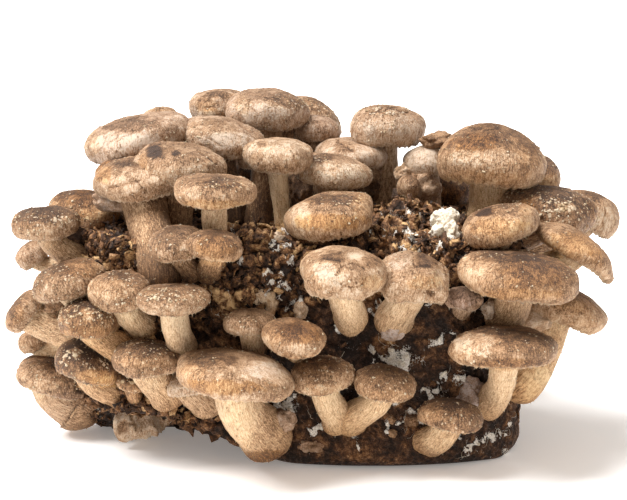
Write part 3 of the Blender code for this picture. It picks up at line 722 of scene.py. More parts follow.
CLEAR_OF_GROUND = 0.3
RIGHT_ANGLE = math.pi / 2
SKIN_COLOURS = (  # from cream through velvety brown to nearly black
    (0.02, (0.615, 0.474, 0.340)), (0.26, (0.478, 0.304, 0.178)), (0.50, (0.300, 0.165, 0.080)),
    (0.72, (0.152, 0.075, 0.033)), (1.00, (0.044, 0.020, 0.009)),
)
STEM_COLOURS = (
    (0.05, (0.790, 0.605, 0.390)), (0.35, (0.595, 0.378, 0.212)),
    (0.65, (0.270, 0.143, 0.064)), (0.95, (0.090, 0.045, 0.022)),
)
GILL_COLOURS = ((0.2, (0.22, 0.14, 0.075)), (0.7, (0.46, 0.34, 0.20)))
FLECK_COLOUR, RIM_COLOUR = (0.70, 0.56, 0.40, 1.0), (0.64, 0.51, 0.36, 1.0)
OCHRE_TINT, GREY_TINT = (1.0, 0.82, 0.52, 1.0), (0.80, 0.82, 1.0, 1.0)


def cap_axis(lean):
    """The direction that a cap faces, for its leans in degrees to the right and to the front."""
    right, front = (math.radians(angle) for angle in lean)
    upright = math.cos(right)
    return np.array([math.sin(right), -math.sin(front) * upright, math.cos(front) * upright])


def bezier(points, share):
    """Points of a cubic curve, and the direction at each."""
    a, b, c, d = points
    share = share[:, None]
    back = 1.0 - share
    place = back**3 * a + 3 * back**2 * share * b + 3 * back * share**2 * c + share**3 * d
    heading = back**2 * (b - a) + 2 * back * share * (c - b) + share**2 * (d - c)
    return place, unit(heading)


def spokes(angles, first, second):
    """Directions at angles from the first of two square directions towards the second."""
    return np.cos(angles)[:, None] * first[..., None, :] + np.sin(angles)[:, None] * second[..., None, :]


def waves(angles, phases, *orders):
    """Sines of the angle added up, each with its height, its number of waves and its phase's place."""
    return sum(height * np.sin(count * angles + phases[k]) for height, count, k in orders)


def cap_rings(mushroom, number, angles, axis, side):
    """A cap as rings of points: a superellipse above its widest circle, a quarter ellipse that
    rolls in below it, a small round lip, and gills that climb to the stem. Sine waves in the angle
    make its outline and its margin stray from a circle, and its low side sags by a square law.
    Returns the rings, and each ring's place: 0 to 1 over the dome, to 2 at the margin and to 3."""
    half = mushroom.width / 2
    thick = mushroom.thickness
    power, sag, wild = FORMS.get(mushroom.name, USUAL_FORM)
    phases = [2 * math.pi * GOLDEN * (number + 1) * k for k in range(1, 12)]
    outline = waves(angles, phases, (0.045, 2, 0), (0.03, 3, 1))
    outline += wild * waves(angles, phases, (0.016, 5, 3), (0.012, 8, 4), (0.006, 17, 7))
    wave = waves(angles, phases, (0.05, 2, 2))
    wave += wild * waves(angles, phases, (0.035, 4, 5), (0.02, 7, 6), (0.012, 13, 8))
    fringe = waves(angles, phases, (0.02, 31, 9), (0.016, 47, 10))

    top_share = mushroom.stem[0] / mushroom.width
    dome = np.linspace(0, RIGHT_ANGLE, max(12, round((half + 0.6 * thick) / FINENESS)) + 1)[1:]
    roll = np.linspace(0, RIGHT_ANGLE, max(6, round(0.75 * thick * WIDEST_AT / FINENESS) + 3))[1:]
    lip = np.linspace(0, math.pi, 6)[1:]
    gills = np.linspace(0, 1, max(5, round(half * (0.75 - top_share) / FINENESS / 1.3)) + 1)[1:]
    inside = 1 - MARGIN_ROLL - 2 * LIP_WIDTH
    dome_up = WIDEST_AT + (1 - WIDEST_AT) * np.cos(dome) ** (2 / power)
    lip_across = 1 - MARGIN_ROLL - LIP_WIDTH * (1 - np.cos(lip))
    zones = (
        (np.sin(dome) ** (2 / power), dome_up, dome / RIGHT_ANGLE),
        (1 - MARGIN_ROLL * (1 - np.cos(roll)), WIDEST_AT * (1 - np.sin(roll)), 1 + roll / RIGHT_ANGLE),
        (lip_across, -LIP_DEPTH * np.sin(lip), 2 + 0.1 * lip / math.pi),
        (inside + (top_share - inside) * gills, GILL_DEPTH * gills**1.3, 2.1 + 0.9 * gills),
    )
    across, up, place = (np.concatenate(parts) for parts in zip(*zones))
    irregular = np.clip((across - top_share) / (1 - top_share), 0, 1)[:, None]
    edge = (smooth_step(place, 1.5, 2.0) * (1 - smooth_step(place, 2.05, 2.2)))[:, None]
    radius = half * across[:, None] * (1 + outline * irregular)
    height = thick * (up[:, None] + wave * irregular**2 + (fringe - 0.02) * edge)
    round_it = spokes(angles, side, np.cross(axis, side))
    downhill = round_it @ unit(np.array([axis[0], axis[1], 0.0]) + 1e-9)
    height = height - sag * (radius / half) ** 2 * np.clip(downhill, 0, 1) ** 2
    foot = np.array(mushroom.cap) - axis * thick / 2
    return foot + round_it * radius[..., None] + axis * height[..., None], place


def stem_rings(mushroom, number, angles, axis, side):
    """A stem as rings of points: they follow a cubic curve from the gills to the root, swell there,
    and end in a half ellipse inside the block. Also the last point."""
    foot = np.array(mushroom.cap) - axis * mushroom.thickness / 2
    start = foot + axis * mushroom.thickness * GILL_DEPTH
    root = np.array(mushroom.root, float)
    reach = np.linalg.norm(root - start)
    inward = unit(np.array([0.0, 0.0, -DROOP]) - outward(root))
    sweep_top, sweep_root = (reach * share for share in STEM_SWEEP)
    curve = (start, start - axis * sweep_top, root - inward * sweep_root, root)
    shares = np.linspace(0, 1, max(8, round(reach / FINENESS / 1.2)) + 1)[1:]
    centres, headings = bezier(curve, shares)
    top_radius, root_radius = (diameter / 2 for diameter in mushroom.stem)
    widths = top_radius + (root_radius - top_radius) * smooth_step(shares, -0.25, 1.1) ** 1.1
    widths = widths * (1 + 0.10 * np.exp(-shares / 0.08) - 0.04 * np.sin(math.pi * shares))
    end = inward * ROOT_TIP * root_radius
    tip = np.linspace(0, RIGHT_ANGLE, 10)[1:-1]
    centres = np.concatenate([centres, root + end * np.sin(tip)[:, None]])
    headings = np.concatenate([headings, np.tile(inward, (len(tip), 1))])
    widths = np.concatenate([widths, root_radius * np.cos(tip)])
    first = unit(side - headings * (headings @ side)[:, None])
    phase = 2 * math.pi * GOLDEN * (number + 1)
    oval = 1 + waves(angles, (phase, 2 * phase), (0.05, 2, 0), (0.035, 3, 1))
    round_it = spokes(angles, first, np.cross(-headings, first))
    return centres[:, None] + round_it * (widths[:, None] * oval)[..., None], root + end


def ring_normals(rings):
    """Normals of rings of points: the cross product of the ways along and round them."""
    around = np.roll(rings, -1, axis=1) - np.roll(rings, 1, axis=1)
    along = np.gradient(rings, axis=0)
    across = np.cross(along, around)
    return across / np.maximum(np.linalg.norm(across, axis=2, keepdims=True), 1e-9)


def marked(name, rings, normals):
    """How much darker, warmer, more flecked and higher each point is, by the mushroom's marks and
    cracks: soft ragged ellipses and lines of the picture, laid on what faces the view. Most marks
    are the skin's own colour; a few are painted highlight and painted shade."""
    seen = in_picture(rings)
    facing = smooth_step(normals @ TO_VIEWER, 0.0, 0.3)
    ragged = layered(rings, (0.25, 2.6, 60), (0.15, 1.2, 61))
    change = np.zeros((*facing.shape, 4))
    for across, down, wide, high, *amounts in MARKS.get(name, ()):
        away = np.hypot((seen[..., 0] - across) / wide, (seen[..., 1] - down) / high)
        weight = smooth_step(1.15 - away + ragged, 0.0, 0.45) * facing
        change[..., : len(amounts)] += weight[..., None] * (np.array(amounts) / 100)
    for x0, y0, x1, y1, width in CRACKS.get(name, ()):
        run = np.array([x1 - x0, y1 - y0])
        share = np.clip((seen - (x0, y0)) @ run / (run @ run), 0, 1)
        away = np.linalg.norm(seen - (x0, y0) - share[..., None] * run, axis=-1)
        weight = smooth_step(1.3 - away / width + 3.0 * ragged, 0.0, 0.7) * facing
        change += weight[..., None] * CRACK_CHANGE
    return np.moveaxis(change, -1, 0)


def grown_skin(mushroom, number):
    """Adds a mushroom's lumps, scales, gills and fibres to its smooth rings, along their normals,
    and gives what its finish paints by: its zone, its look, and its fibres' own coordinates."""
    half = mushroom.width / 2
    columns = max(48, 4 * round(math.pi * half / 2 / FINENESS))
    angles = np.arange(columns) * 2 * math.pi / columns
    axis = cap_axis(mushroom.lean)
    side = np.cross(axis, outward(np.array(mushroom.root, float)))
    if np.linalg.norm(side) < 0.2:
        side = np.cross(axis, [0.0, 1.0, 0.0])
    side = unit(side)
    cap, place = cap_rings(mushroom, number, angles, axis, side)
    stem, tip = stem_rings(mushroom, number, angles, axis, side)
    rings = np.concatenate([cap, stem])
    row = np.concatenate([place, 3 + np.linspace(0, 1, len(stem) + 1)[1:]])[:, None]
    shift = NOISE_SHIFT * number
    normals = ring_normals(rings)
    at = rings + shift
    wild = FORMS.get(mushroom.name, USUAL_FORM)[2]
    brown, flecked, warm, stem_brown_and_shade = (share / 100 for share in mushroom.look)
    on_cap = 1 - smooth_step(row, 1.95, 2.08)
    on_gills = smooth_step(row, 2.08, 2.2) * (1 - smooth_step(row, 2.9, 3.0))
    on_stem = smooth_step(row, 2.95, 3.05)

    run = np.cumsum(np.linalg.norm(np.diff(rings, axis=0, prepend=rings[:1]), axis=2).mean(axis=1))
    reach = np.where(row > 3, mushroom.stem[0] / 2, 0.7 * half)
    strands = (reach * np.cos(angles), reach * np.sin(angles), run[:, None] + 0 * angles)
    strands = np.stack(strands, axis=-1)
    fibre_at = strands * (0.55, 0.55, 0.09) + shift
    fibres = lattice_noise(fibre_at, 55) + 0.6 * lattice_noise(fibre_at * 2.2, 56)
    browner_and_painted_light, warmer, more_flecks, higher = marked(mushroom.name, rings, normals)

    blotch = layered(at, (1.0, 0.22 * mushroom.width, 62), (0.6, 4.0, 63))
    centre = 1 - 0.48 * smooth_step(row, 0.1, 1.0) - 0.10 * smooth_step(row, 1.0, 1.9)
    tone = brown * (0.25 + 0.75 * centre) + 0.07 * blotch * on_cap + 0.04 * fibres * on_cap
    # The stem's brown from the look is raised for stems that stand in shadow under crowded caps: partly
    # painted shade.
    stem_tone = stem_brown_and_shade + 0.05 + 0.06 * fibres + 0.07 * blotch + 0.17 * smooth_step(row, 3.35, 4.0)
    stem_tone = stem_tone - 0.10 * (1 - smooth_step(row, 3.1, 3.45))
    # The marks' change of tone is mostly brown skin and cracks; on a few marks it is a painted highlight or
    # painted shade.
    tone = np.where(row < 3, tone, stem_tone) + browner_and_painted_light
    flecks = flecked * (0.5 + 0.5 * smooth_step(row, 0.1, 0.7)) + 0.14 * blotch + 0.7 * more_flecks

    lump = (0.010 + 0.008 * wild) * mushroom.width
    lumps = layered(at, (lump, 0.27 * mushroom.width, 50), (0.30, 6.0, 51), (0.10, 2.4, 52))
    scale = layered(at, (1.0, 1.9, 53), (0.5, 5.0, 54))
    scale = smooth_step(scale + 0.8 * np.clip(flecks, 0, 1), 1.0, 1.25) * on_cap
    tone = tone - 0.22 * scale
    depth = on_cap * (lumps + SCALES * scale + CAP_FIBRES * fibres + higher)
    depth = depth + on_gills * GILLS * np.cos(angles * (columns // 4))
    swelling = layered(at, (0.6, 9.0, 57), (0.09, 1.6, 58))
    depth = depth + on_stem * (STEM_FIBRES * fibres + swelling + higher)
    rings = rings + normals * depth[..., None]
    rings[..., 2] = np.maximum(rings[..., 2], CLEAR_OF_GROUND)
    poles = [rings[0].mean(axis=0) + axis * 0.05, tip]
    zone = np.stack(np.broadcast_arrays(row, on_stem, smooth_step(row, 0.02, 0.35), depth)[:3], axis=-1)
    warmer = warmer + 0.30 * smooth_step(row, 3.3, 4.0)
    look = np.stack([tone, warm + warmer, np.clip(flecks, 0, 1) * on_cap], axis=-1)
    return rings, normals, poles, {"zone": zone, "look": look, "strands": strands}


def skin_faces(rows, columns):
    """Quads between rings of points, and triangles to two poles, whose points follow the rings'."""
    number = np.arange(rows * columns).reshape(rows, columns)
    after = np.roll(number, -1, axis=1)
    quads = np.stack([number[:-1], number[1:], after[1:], after[:-1]], axis=-1).reshape(-1, 4)
    pole = np.full(columns, rows * columns)
    return quads, np.hstack([(pole, number[0], after[0]), (pole + 1, after[-1], number[-1])]).T


def with_poles(values):
    """One value per point, with the first and the last ring's repeated for the poles."""
    flat = values.reshape(-1, values.shape[-1])
    return np.concatenate([flat, flat[:1], flat[-1:]])


def flesh_finish():
    """Brown velvety skin that pales to cream at the rolled margin, ochre below, with white flecks;
    cream fibrous stem; buff gills."""
    finish, shader, wire = new_finish("shiitake_flesh", Roughness=0.61, Specular_IOR_Level=0.40)
    place = wire.node("TexCoord", output="Object")
    row, on_stem, fade = wire.attribute("zone", "Vector").parts()
    tone, warmth, flecks = wire.attribute("look", "Vector").parts()
    strands = wire.attribute("strands", "Vector")
    mottle = place.noise(520, 4, 0.70)
    grain = place.noise(1500, 2, 0.6)
    long_way = strands.node("VectorMath", {"operation": "MULTIPLY"}, {0: strands, 1: (1.0, 1.0, 0.2)})
    fibres = long_way.noise(1.9, 3, 0.7)
    stray = place.noise(700, 1, output=1)
    shaken = {0: stray, 1: (0.0016,) * 3, 2: place}
    shaken = place.node("VectorMath", {"operation": "MULTIPLY_ADD"}, shaken)
    near, chance = shaken.cells(580)
    spot = ((chance + flecks * 0.72 - 1.0) * 0.95 - near).step(-0.02, 0.04)
    far, luck = shaken.cells(640)
    speck = ((luck - 0.55) * 1.1 - far).step(-0.03, 0.05)
    peel, _ = shaken.cells(150)
    peeled = (peel + (mottle - 0.5) * 1.2).step(0.42, 0.50)

    fine = (mottle - 0.5) * 0.38 + (grain - 0.5) * 0.85
    vein = abs(place.noise(230, 3, 0.6) - 0.5).step(0.016, 0.004)
    crack = vein * (peel + flecks * 0.6).step(0.45, 0.65)
    streaks = (fibres - 0.5) * fade
    shade = tone + fine + streaks * 1.15 + peeled * 0.13 + crack * 0.26 + speck * 0.11 - 0.02
    gill_tone = (fibres - 0.5) * 0.6 + fine * 0.5 + 0.4
    rim = row.step(1.6, 1.95) * (1 - row.step(2.03, 2.12))
    skin = shade.ramp(*SKIN_COLOURS).to(FLECK_COLOUR, spot * 0.8).to(RIM_COLOUR, rim * 0.3)
    stem = (tone + fine * 0.95 + streaks * 1.5).ramp(*STEM_COLOURS)
    colour = skin.to(gill_tone.ramp(*GILL_COLOURS), row.step(2.04, 2.16)).to(stem, on_stem)
    colour = colour.to(OCHRE_TINT, warmth.step(0.0, 1.2), "MULTIPLY")
    colour = colour.to(GREY_TINT, warmth.step(0.0, -1.0), "MULTIPLY")
    relief = mottle * 0.45 + grain * 0.5 + fibres * 0.7 + spot * 0.5 - peeled * 0.2 - crack * 0.5
    connect(shader, Base_Color=colour, Normal=relief.bump(0.9, 0.0013))
    return finish


flesh = flesh_finish()
SCRAPS_PER_MM = 0.10
picker = np.random.default_rng(31)
scrap_sites, fringe_sites = [], []
grown = enumerate(itertools.starmap(Mushroom, MUSHROOMS))
for name, group in itertools.groupby(grown, key=lambda item: item[1].name):
    points, quads, fans, paints, count = [], [], [], [], 0
    for number, mushroom in group:
        rings, normals, poles, paint = grown_skin(mushroom, number)
        skin_quads, skin_fans = skin_faces(*rings.shape[:2])
        points += [rings.reshape(-1, 3), poles]
        quads.append(skin_quads + count)
        fans.append(skin_fans + count)
        paints.append({title: with_poles(value) for title, value in paint.items()})
        count += len(paints[-1]["zone"])
        row, flecks = paint["zone"][..., 0], paint["look"][..., 2]
        gap = np.linalg.norm(np.roll(rings, 1, axis=1) - rings, axis=2)
        chosen = picker.random(row.shape) < gap * SCRAPS_PER_MM * flecks**1.5 * (row < 1.8)
        torn = 1.0 + 1.8 * smooth_step(flecks[chosen], 0.85, 1.05)
        scrap_sites.append(np.concatenate([rings[chosen], normals[chosen], torn[:, None]], axis=1))
        chosen = (abs(row - 2.0) < 0.06) | ((row > 3.05) & (picker.random(row.shape) < 0.3))
        chosen &= picker.random(row.shape) < gap * SCRAPS_PER_MM
        fringe_sites.append(np.concatenate([rings[chosen], normals[chosen]], axis=1))
    faces = [np.concatenate(quads), np.concatenate(fans)]
    paint = {title: np.concatenate([paint[title] for paint in paints]) for title in paints[0]}
    piece = piece_of("shiitake_" + name, np.concatenate(points), faces, flesh, "shiitake", **paint)
    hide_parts("mushroom_" + name)

# Loose chips of the crust: thin splinters of wood and bark, 1 to 5 mm long, that curl off the block
# and lie on it, thickest where the crust has broken open.
CHIP_TRIES = 24000
CHIP_SIZES = (0.7, 0.4, 0.10), (2.0, 1.1, 0.25)  # smallest and largest halves of the three sides
CHIP_GRADES, GRADE_SHARES = (0.9, 1.6, 2.4), (0.5, 0.35, 0.15)
LOWEST_CHIP, CHIP_CLEARANCE = 4.0, 0.2  # over the ground: where it may start, and where it may hang
CHIP_LIES = 0.4  # its middle's height over the crust


def on_cube(count):
    """Random places on a cube's skin: the faces are chosen by their areas on the block."""
    half = (BLOCK_HIGH - BLOCK_LOW) / 2
    areas = np.array([half[1] * half[2], half[2] * half[0], half[0] * half[1]])
    axis = picker.choice(3, count, p=areas / areas.sum())
    places = picker.uniform(-1, 1, (count, 3))
    places[np.arange(count), axis] = picker.choice((-1.0, 1.0), count)
    return places


def across_from(direction, other):
    """A unit vector square to each direction, nearest to the other."""
    return unit(other - direction * (other * direction).sum(axis=-1, keepdims=True))


cube = on_cube(CHIP_TRIES)
places, out, loose, _, _ = crusted(cube)
chance = (loose - 0.15) ** 2 * (0.25 + 1.4 * near_patches(places, LIGHT_CRUST, 1.0).clip(0, 1))
kept = (picker.random(len(cube)) < chance) & (places[:, 2] > LOWEST_CHIP)
places, out, loose = places[kept], out[kept], loose[kept]
chips = len(places)
facing = unit(out + 0.6 * picker.normal(size=(chips, 3)))
first = across_from(facing, picker.normal(size=(chips, 3)))
sizes = picker.uniform(*CHIP_SIZES, (chips, 3))
sizes *= picker.choice(CHIP_GRADES, (chips, 1), p=GRADE_SHARES)
strip, strip_quads = cube_skin(np.array([2, 1, 1]))
bent = (strip + 0.35 * picker.uniform(-1, 1, (chips, len(strip), 3))) * sizes[:, None]
curl = picker.normal(0, 0.7, (chips, 1)) * sizes[:, :1]
bent[..., 2] += curl * (strip[:, 0] ** 2 - 0.5)
bent = (places + out * CHIP_LIES)[:, None] + bent @ np.stack([first, np.cross(facing, first), facing], axis=1)
bent[..., 2] = np.maximum(bent[..., 2], CHIP_CLEARANCE)
chip_tone = np.repeat(0.08 + 0.85 * picker.beta(1.4 + loose, 2.8), len(strip))
piece_of(
    "bark_chips", bent, [strip_quads], bark, "spent_sawdust", False,
    tone=chip_tone, mould=np.zeros(len(chip_tone)),
)

# Mycelium: the mushroom's living threads, white and dry. They gather in crumpled tufts on the crust
# and stretch between them in thin strands.
TUFTS, TUFT_TRIES, TUFT_MOULD, LOWEST_TUFT = 700, 26000, 0.62, 2.0
TUFT_SIZES = (0.8, 0.5, 0.3), (2.4, 1.4, 1.0)  # smallest and largest of the three radii
STRANDS, STRAND_TRIES, STRAND_MOULD, LOWEST_STRAND = 260, 30000, 0.18, 4.0
STRAND_STEPS, STRAND_STEP, STRAND_TURN, STRAND_SIDES, STRAND_RADII = 10, 0.9, 0.55, 3, (0.06, 0.17)
FELT_COLOURS = (0.30, (0.30, 0.21, 0.13)), (0.45, (0.58, 0.49, 0.37)), (0.57, (0.86, 0.80, 0.69))


def mycelium_finish():
    """Dry cream-white felt, with greyer hollows."""
    finish, shader, wire = new_finish("mycelium", Roughness=0.95, Specular_IOR_Level=0.1)
    place = wire.node("TexCoord", output="Object")
    felt = place.noise(900, 4, 0.7)
    worn = place.noise(160, 2, 0.5)
    colour = (felt * 0.7 + worn * 0.3).ramp(*FELT_COLOURS)
    connect(shader, Base_Color=colour, Normal=felt.bump(0.8, 0.0008))
    return finish


def blob_points(middles, along, radii, rough, seed):
    """Crumpled lumps: a cube's skin drawn out to a ball, stretched by three radii along its own
    axes, with lattice noise in its distance from the middle."""
    ball = unit(blob_cube)
    reach = 1.0 + rough * lattice_noise(ball * 1.7 + middles[:, None] * 3.1, seed)
    reach += 0.5 * rough * lattice_noise(ball * 3.6 + middles[:, None] * 5.3, seed + 1)
    return middles[:, None] + (ball * radii[:, None] * reach[..., None]) @ along


felt_white = mycelium_finish()
cube = on_cube(TUFT_TRIES)
places, out, _, _, mould = crusted(cube)
kept = (mould > TUFT_MOULD) & (places[:, 2] > LOWEST_TUFT)
kept &= picker.random(len(cube)) < 0.35
places, out = places[kept][:TUFTS], out[kept][:TUFTS]
first = across_from(out, picker.normal(size=out.shape))
radii = picker.uniform(*TUFT_SIZES, out.shape)
blob_cube, blob_quads = cube_skin(np.array([3, 3, 3]))
tufts = blob_points(places, np.stack([first, np.cross(out, first), out], axis=1), radii, 0.45, 70)
piece_of("mycelium_tufts", tufts, [blob_quads], felt_white, None)

cube = on_cube(STRAND_TRIES)
places, _, _, _, mould = crusted(cube)
starts = cube[(mould > STRAND_MOULD) & (places[:, 2] > LOWEST_STRAND)][:STRANDS]
flat_axis = abs(starts).argmax(axis=1)
turn = picker.uniform(0, 2 * math.pi, (len(starts), 1))
turn = turn + np.cumsum(picker.normal(0, STRAND_TURN, (len(starts), STRAND_STEPS)), axis=1)
walk = np.zeros((len(starts), STRAND_STEPS, 3))
number = np.arange(len(starts))
walk[number, :, (flat_axis + 1) % 3] = np.cumsum(np.cos(turn), axis=1)
walk[number, :, (flat_axis + 2) % 3] = np.cumsum(np.sin(turn), axis=1)
walk = np.clip(starts[:, None] + walk * STRAND_STEP / ((BLOCK_HIGH - BLOCK_LOW) / 2), -1, 1)
centres, out = (value.reshape(*walk.shape) for value in crusted(walk.reshape(-1, 3))[:2])
centres = centres + out * (0.35 + 0.5 * np.sin(np.linspace(0, math.pi, STRAND_STEPS)))[:, None]
heading = unit(np.gradient(centres, axis=1) + 1e-6)
first = across_from(heading, out)
angles = np.arange(STRAND_SIDES) * 2 * math.pi / STRAND_SIDES
thick = picker.uniform(*STRAND_RADII, (len(starts), 1)) * np.linspace(1.0, 0.35, STRAND_STEPS)
tubes = centres[:, :, None] + spokes(angles, first, np.cross(heading, first)) * thick[:, :, None, None]
tubes = [tubes.reshape(len(starts), -1, 3), centres[:, :1], centres[:, -1:]]
tube_faces = [np.roll(face[:, ::-1], 1, axis=1) for face in skin_faces(STRAND_STEPS, STRAND_SIDES)]
piece_of("mycelium_strands", np.concatenate(tubes, axis=1), tube_faces, felt_white, None)

# Scraps of veil: flat pale flecks of torn skin on the caps, and short shreds that hang from their
# margins, all grown on.
SCRAP_SIZES = (0.3, 0.36, 0.45, 0.75)
SCRAP_RIM, SCRAP_CROWN, SCRAP_ROOT = 0.16, 0.42, 0.3  # heights of rim and middle, and depth in the skin
SHRED_RADIUS, SHRED_LENGTHS, SHRED_SAG = 0.28, (0.5, 1.5), (0.0, 0.0, -0.7)
VEIL_COLOURS = (0.32, (0.20, 0.12, 0.06)), (0.48, (0.42, 0.31, 0.19)), (0.66, (0.58, 0.49, 0.36))


def scrap_finish():
    """Dry pale skin, some of it browner."""
    finish, shader, wire = new_finish("torn_veil", Roughness=0.9, Specular_IOR_Level=0.15)
    place = wire.node("TexCoord", output="Object")
    colour = place.noise(300, 2, 0.5).ramp(*VEIL_COLOURS)
    connect(shader, Base_Color=colour, Normal=place.noise(1500, 2).bump(0.5, 0.0004))
    return finish


veil = scrap_finish()
sites = np.concatenate(scrap_sites)
scraps = len(sites)
middle, torn = sites[:, :3], sites[:, 6:]
facing = unit(sites[:, 3:6] + 0.25 * torn * picker.normal(size=(scraps, 3)))
first = across_from(facing, picker.normal(size=(scraps, 3)))
angles = np.arange(6) * math.pi / 3
reach = picker.uniform(0.65, 1.25, (scraps, 6)) * picker.choice(SCRAP_SIZES, (scraps, 1)) * torn
oval = np.cross(facing, first) * picker.uniform(0.6, 1.0, (scraps, 1))
rim = (middle + SCRAP_RIM * facing)[:, None] + spokes(angles, first, oval) * reach[..., None]
crown, root = middle + facing * SCRAP_CROWN, middle - facing * SCRAP_ROOT
flakes = np.concatenate([rim, crown[:, None], root[:, None]], axis=1)
piece_of("veil_scraps", flakes, skin_faces(1, 6), veil, "shiitake", False)

sites = np.concatenate(fringe_sites)
shreds = len(sites)
middle, facing = sites[:, :3], sites[:, 3:]
hang = unit(facing + SHRED_SAG + 0.5 * picker.normal(size=(shreds, 3)))
first = across_from(hang, facing)
round_it = spokes(np.arange(3) * 2 * math.pi / 3, first, np.cross(hang, first))
base = (middle - 0.25 * hang)[:, None] + SHRED_RADIUS * round_it
length = picker.uniform(*SHRED_LENGTHS, (shreds, 1))
spikes = np.concatenate([base, (middle + hang * length)[:, None]], axis=1)
spikes[..., 2] = np.maximum(spikes[..., 2], 0.0)
spike_faces = np.array([[0, 1, 3], [1, 2, 3], [2, 0, 3], [2, 1, 0]])
piece_of("veil_shreds", spikes, [spike_faces], veil, "shiitake", False)

# A thick white mass of living mycelium that has burst out of the block's top: three crumpled lumps
# grown into each other and onto the crust.
MASS_AT = np.array([placed(446, 223, -30), placed(452, 238, -37), placed(440, 232, -33)])
MASS_RADII = np.array([[7.0, 6.0, 6.5], [4.6, 4.5, 7.5], [5.0, 4.5, 5.0]])
blob_cube, blob_quads = cube_skin(np.array([40, 40, 40]))
mass = blob_points(MASS_AT, np.eye(3), MASS_RADII, 0.35, 76)
mass += unit(mass - MASS_AT[:, None]) * layered(mass, (0.7, 3.0, 78), (0.25, 1.2, 79))[..., None]
piece_of("mycelium_mass", mass, [blob_quads], felt_white, None)

# Buds: small mushrooms that stayed lumps, grown on the block between the others. Some are round
# pinheads with a pale ring at their foot. The dark lumps, of tone 0.6 and over, are painted shade:
# they fill gaps between and behind the caps where only shadow shows.
BUDS_AND_SHADE_LUMPS = (  # across and down in the picture, depth, radii along X, Y and Z, tone and warmth
    (282, 421, -80, 6.5, 6, 5.5, 0.26, -0.5), (341, 409, -74, 3.6, 3, 6, 0.02, -0.6),
    (392, 328, -70, 6.2, 5, 6, 0.08, -0.7), (278, 242, -40, 4, 4, 4.5, 0.05, -0.1),
    (312, 446, -66, 7, 5, 3.6, 0.34, -0.4), (412, 420, -66, 3.6, 3.6, 3.2, 0.5, 0.3),
    (392, 433, -66, 2.4, 2.4, 2.2, 0.45, 0.3), (391, 420, -66, 2.2, 2.2, 2.2, 0.4, 0.3),
    (470, 396, -63, 7, 4.5, 10, 0.12, -0.9), (417, 178, 30, 4, 4, 5, 0.34, -0.2),
    (274, 285, -63, 3.2, 2.2, 7.5, -0.15, -0.5), (262, 297, -67, 6, 2.6, 4, 0.02, 0.4),
    (113, 201, -16, 10, 8, 6, 0.2, -0.5), (372, 171, 42, 4.5, 4, 6, 0.45, -0.2),
    (400, 197, 24, 4, 4, 5, 0.8, 0), (424, 188, 28, 8, 6, 9, 0.26, -0.3),
    (490, 309, -68, 4, 3, 4.5, 0.1, -0.3), (403, 174, 32, 4.5, 4, 4.5, 0.14, 0),
    (455, 262, -52, 6, 5, 11, 0.5, 0.4), (244, 170, 44, 10, 7, 12, 0.62, -0.3),
    (300, 184, 40, 7, 6, 12, 0.62, 0), (363, 191, 48, 9, 7, 8, 0.66, 0),
    (286, 136, 60, 6, 6, 10, 0.6, -0.3), (438, 141, 34, 9, 7, 4.5, 0.46, 0.1),
    (418, 197, 30, 6, 5, 7, 0.34, -0.2), (530, 320, -46, 11, 7, 8, 0.2, 0),
    (56, 303, -24, 7, 6, 5, 0.5, 0), (76, 236, -22, 5, 5, 5, 0.95, 0),
    (300, 310, -66, 3.2, 2.6, 5, 0.1, 0.2), (271, 304, -67, 3, 2.6, 6, 0.16, 0.5),
)
blob_cube, blob_quads = cube_skin(np.array([18, 18, 18]))
rows = np.array([(*placed(across, down, depth), *rest) for across, down, depth, *rest in BUDS_AND_SHADE_LUMPS])
buds = blob_points(rows[:, :3], np.eye(3), rows[:, 3:6], 0.30, 80)
buds += unit(buds - rows[:, None, :3]) * layered(buds, (0.5, 2.0, 84))[..., None]
buds[..., 2] = np.maximum(buds[..., 2], CLEAR_OF_GROUND)
strands = buds.reshape(-1, 3)
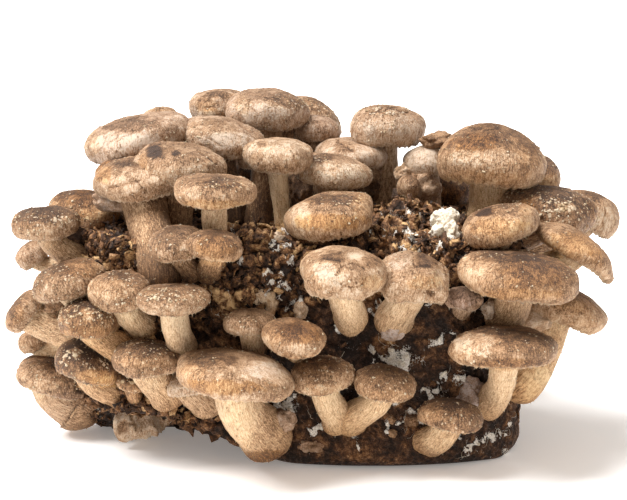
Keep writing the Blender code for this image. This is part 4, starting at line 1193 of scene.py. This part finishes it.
tone, warmth = np.repeat(rows[:, 6:], len(blob_cube), axis=0).T
tone = tone + layered(strands, (0.15, 4.0, 85))
nothing = np.zeros(len(strands))
piece_of(
    "stunted_buds", buds, [blob_quads], flesh, "shiitake", strands=strands,
    zone=np.stack([nothing + 1.2, nothing, nothing], axis=1),
    look=np.stack([tone, warmth, nothing + 0.2], axis=1),
)

# The floor and the light: a white sheet that glows a little, as on a light table, under a white sky,
# and one broad soft lamp so far off that the sheet is lit evenly, high and to the log's left.
SHEET = [(-4, -4, 0), (4, -4, 0), (4, 4, 0), (-4, 4, 0)]  # metres
SKY_STRENGTH, SKY_SEEN = 0.69, 0.5  # the light it sheds, and how much brighter the view shows it
LAMP_TURN, LAMP_HEIGHT = math.radians(-82), math.radians(62)  # from the view towards the left, and up
LAMP_POWER, LAMP_SPREAD = 6.9, math.radians(40)

floor_mesh = bpy.data.meshes.new("floor")
floor_mesh.from_pydata(SHEET, [], [(0, 1, 2, 3)])
floor = put("floor", floor_mesh)
paper = new_finish(
    "white_paper", Roughness=0.9, Specular_IOR_Level=0.1, Base_Color=(0.96, 0.955, 0.95, 1.0),
    Emission_Color=(1.0, 0.93, 0.88, 1.0), Emission_Strength=0.20,
)[0]
floor_mesh.materials.append(paper)

sky = bpy.data.worlds.new("white_sky")
sky.use_nodes = True
background = sky.node_tree.nodes["Background"]
background.inputs["Color"].default_value = (1.0, 0.955, 0.91, 1.0)
ray = Wire(sky.node_tree).node("LightPath", output="Is Camera Ray")
brightness = SKY_STRENGTH + ray * SKY_SEEN
sky.node_tree.links.new(brightness.socket, background.inputs["Strength"])
bpy.context.scene.world = sky
bpy.context.scene.view_settings.view_transform = "Standard"

lamp = put("key_lamp", bpy.data.lights.new("key_lamp", "SUN"))
lamp.data.energy = LAMP_POWER
lamp.data.angle = LAMP_SPREAD
level = math.cos(LAMP_HEIGHT)
aim(lamp, (-math.sin(LAMP_TURN) * level, math.cos(LAMP_TURN) * level, -math.sin(LAMP_HEIGHT)))
